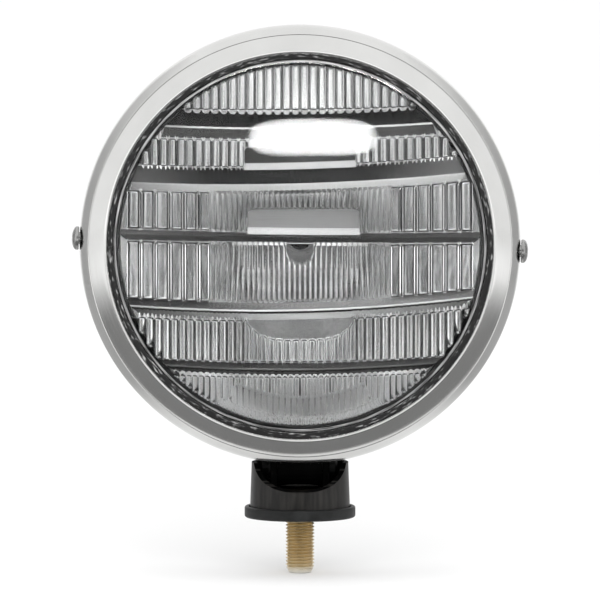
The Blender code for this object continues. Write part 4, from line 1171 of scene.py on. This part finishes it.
def card_finish(name, dark, *fades):
    """A dark card that turns light along each (axis, where it starts, where it ends), away from zero."""
    finish = Finish(name, grey(dark), 0.9)
    spot = finish.split()
    lightness = 0.0
    for axis, start, end in fades:
        faded = finish.spread(finish.math("ABSOLUTE", spot[axis]), 0.0, 1.0, start, end)
        lightness = finish.math("MAXIMUM", lightness, faded)
    finish.paint(lightness, (0.0, grey(dark)), (1.0, grey(FLOOR_TONE)))
    return finish.material


def make_stage():
    """A pale floor, and cards that only shiny surfaces see: dark in front of the lamp, grey beside it."""
    size = FLOOR_HALF_SIZE
    flat_sheet("pale_floor", level_corners(-size, size, -size, size, FLOOR_Z),
               Finish("pale_floor", grey(FLOOR_TONE), 0.85).material)
    z = FLOOR_Z + CARD_RISE
    half_width, y_low, y_high = FRONT_CARD
    cards = [flat_sheet("dark_card", level_corners(-half_width, half_width, y_low, y_high, z),
                        card_finish("dark_card", FRONT_TONE, ("X", 0.29, 0.55)))]
    beside = card_finish("side_card", SIDE_TONE, ("Z", 0.22, 0.95), BACK_FADE)
    below = card_finish("floor_card", SIDE_TONE, ("X", 0.15, 0.07), BACK_FADE)
    for side, sign in (("left", -1.0), ("right", 1.0)):
        x = sign * CARD_HALF_WIDTH
        upright = [(x, CARD_START, z), (x, CARD_END, z), (x, CARD_END, CARD_TOP), (x, CARD_START, CARD_TOP)]
        cards.append(flat_sheet(f"side_card_{side}", upright, beside))
        level = level_corners(*sorted((sign * CARD_GAP, x)), CARD_START, CARD_END, z)
        cards.append(flat_sheet(f"floor_card_{side}", level, below))
    for card in cards:
        card.visible_camera = False
        card.visible_diffuse = False
        card.visible_shadow = False


WORLD_DARK, WORLD_BRIGHT = 0.08, 1.1
WORLD_FADE = (-0.965, -0.87)  # from dark to bright, by how far a direction points forwards


def make_world():
    """Bright studio all round, and dark in front of the lamp."""
    world = bpy.data.worlds.new("studio")
    bpy.context.scene.world = world
    world.use_nodes = True
    tree = world.node_tree
    direction = split_node(tree, tree.nodes.new("ShaderNodeTexCoord").outputs["Generated"])
    strength = range_node(tree, direction["Y"], WORLD_DARK, WORLD_BRIGHT, *WORLD_FADE, "SMOOTHSTEP")
    background = tree.nodes["Background"]
    background.inputs["Color"].default_value = (1.0, 1.0, 1.0, 1.0)
    tree.links.new(strength, background.inputs["Strength"])


LIGHT_TARGET = LAMP_ORIGIN + Vector((0.0, 0.0, 0.0425))
LIGHT_DISTANCE = 1.5
LIGHT_TURN = math.radians(3.0)  # to the right of the lamp
SOFTBOX_ROUNDNESS = (("X", 4.0), ("Y", 2.6))


def area_light(name, width, height, power, elevation):
    """A rectangular light in front of the lamp that faces the highlight's place on the glass."""
    data = bpy.data.lights.new(name, "AREA")
    data.shape = "RECTANGLE"
    data.size = width
    data.size_y = height
    data.energy = power
    light = bpy.data.objects.new(name, data)
    elevation = math.radians(elevation)
    level = math.cos(elevation)
    direction = Vector((math.sin(LIGHT_TURN) * level, -math.cos(LIGHT_TURN) * level, math.sin(elevation)))
    light.location = LIGHT_TARGET + LIGHT_DISTANCE * direction
    light.rotation_euler = (LIGHT_TARGET - light.location).to_track_quat("-Z", "Y").to_euler()
    light.visible_transmission = False
    bpy.context.scene.collection.objects.link(light)
    return light


def round_off(data):
    """Fade an area light towards a rounded outline."""
    data.use_nodes = True
    tree = data.node_tree
    spot = split_node(tree, tree.nodes.new("ShaderNodeNewGeometry").outputs["Parametric"])
    outward = 0.0
    for axis, roundness in SOFTBOX_ROUNDNESS:
        offset = math_node(tree, "ABSOLUTE", math_node(tree, "SUBTRACT", spot[axis], 0.5))
        power = math_node(tree, "POWER", math_node(tree, "MULTIPLY", offset, 2.0), roundness)
        outward = math_node(tree, "ADD", outward, power)
    strength = range_node(tree, outward, 1.0, 0.0, 0.35, 1.0, "SMOOTHSTEP")
    tree.links.new(strength, tree.nodes["Emission"].inputs["Strength"])


def make_lights(glass):
    """A softbox whose reflection is the highlight on the glass, and a broad soft fill from the same side."""
    softbox = area_light("softbox", 0.78, 0.235, 60.0, 18.3)
    round_off(softbox.data)
    only_glass = bpy.data.collections.new("softbox_reflects_in")
    only_glass.objects.link(glass)
    softbox.light_linking.receiver_collection = only_glass
    fill = area_light("fill", 1.0, 0.5, 12.0, 24.0)
    fill.visible_glossy = False


CAMERA_ELEVATION = math.radians(4.7)
CAMERA_DISTANCE = 5.0
VIEW_WIDTH = 0.231
VIEW_BELOW_AXIS = 0.02087  # the middle of the view lies this far below the lamp's axis
VIEW_DEPTH = 0.006


def make_camera():
    up = Vector((0.0, math.sin(CAMERA_ELEVATION), math.cos(CAMERA_ELEVATION)))
    back = Vector((0.0, -math.cos(CAMERA_ELEVATION), math.sin(CAMERA_ELEVATION)))
    target = LAMP_ORIGIN + Vector((0.0, VIEW_DEPTH, 0.0)) - up * VIEW_BELOW_AXIS
    data = bpy.data.cameras.new("camera")
    data.sensor_width = 36.0
    data.lens = data.sensor_width * CAMERA_DISTANCE / VIEW_WIDTH
    data.clip_end = 100.0
    camera = bpy.data.objects.new("camera", data)
    camera.location = target + CAMERA_DISTANCE * back
    camera.rotation_euler = (0.5 * math.pi - CAMERA_ELEVATION, 0.0, 0.0)
    bpy.context.scene.collection.objects.link(camera)
    bpy.context.scene.camera = camera


make_camera()
make_rim()
make_seal()
make_bowl()
make_reflector()
make_bulb()
lens = make_glass()
make_louver_ring()
make_side_screws()
for louver_name in LOUVERS:
    make_louver(louver_name)
make_stud()
make_pad()
make_cup()
dress(bulb_steel, "bulb_holder", "bulb_base")
dress(steel, "bulb_clip", "side_nut_left", "side_nut_right", "backing_plate", "bracket_screw_left",
      "bracket_screw_right", *(f"reflector_clip_{number}" for number in range(1, 5)))
# The hardware inside the cup is made near black as painted shade.
dress(blackened_shade_steel, "pivot_bolt", "pivot_nut", "pivot_washer")
dress(brass, "bulb_terminal")
dress(black_paint, "tilt_knuckle", "pivot_yoke", "stud_washer")
dress(pad_rubber, "cable_grommet")
make_stage()
make_world()
make_lights(lens)
scene = bpy.context.scene
scene.view_settings.view_transform = "Standard"
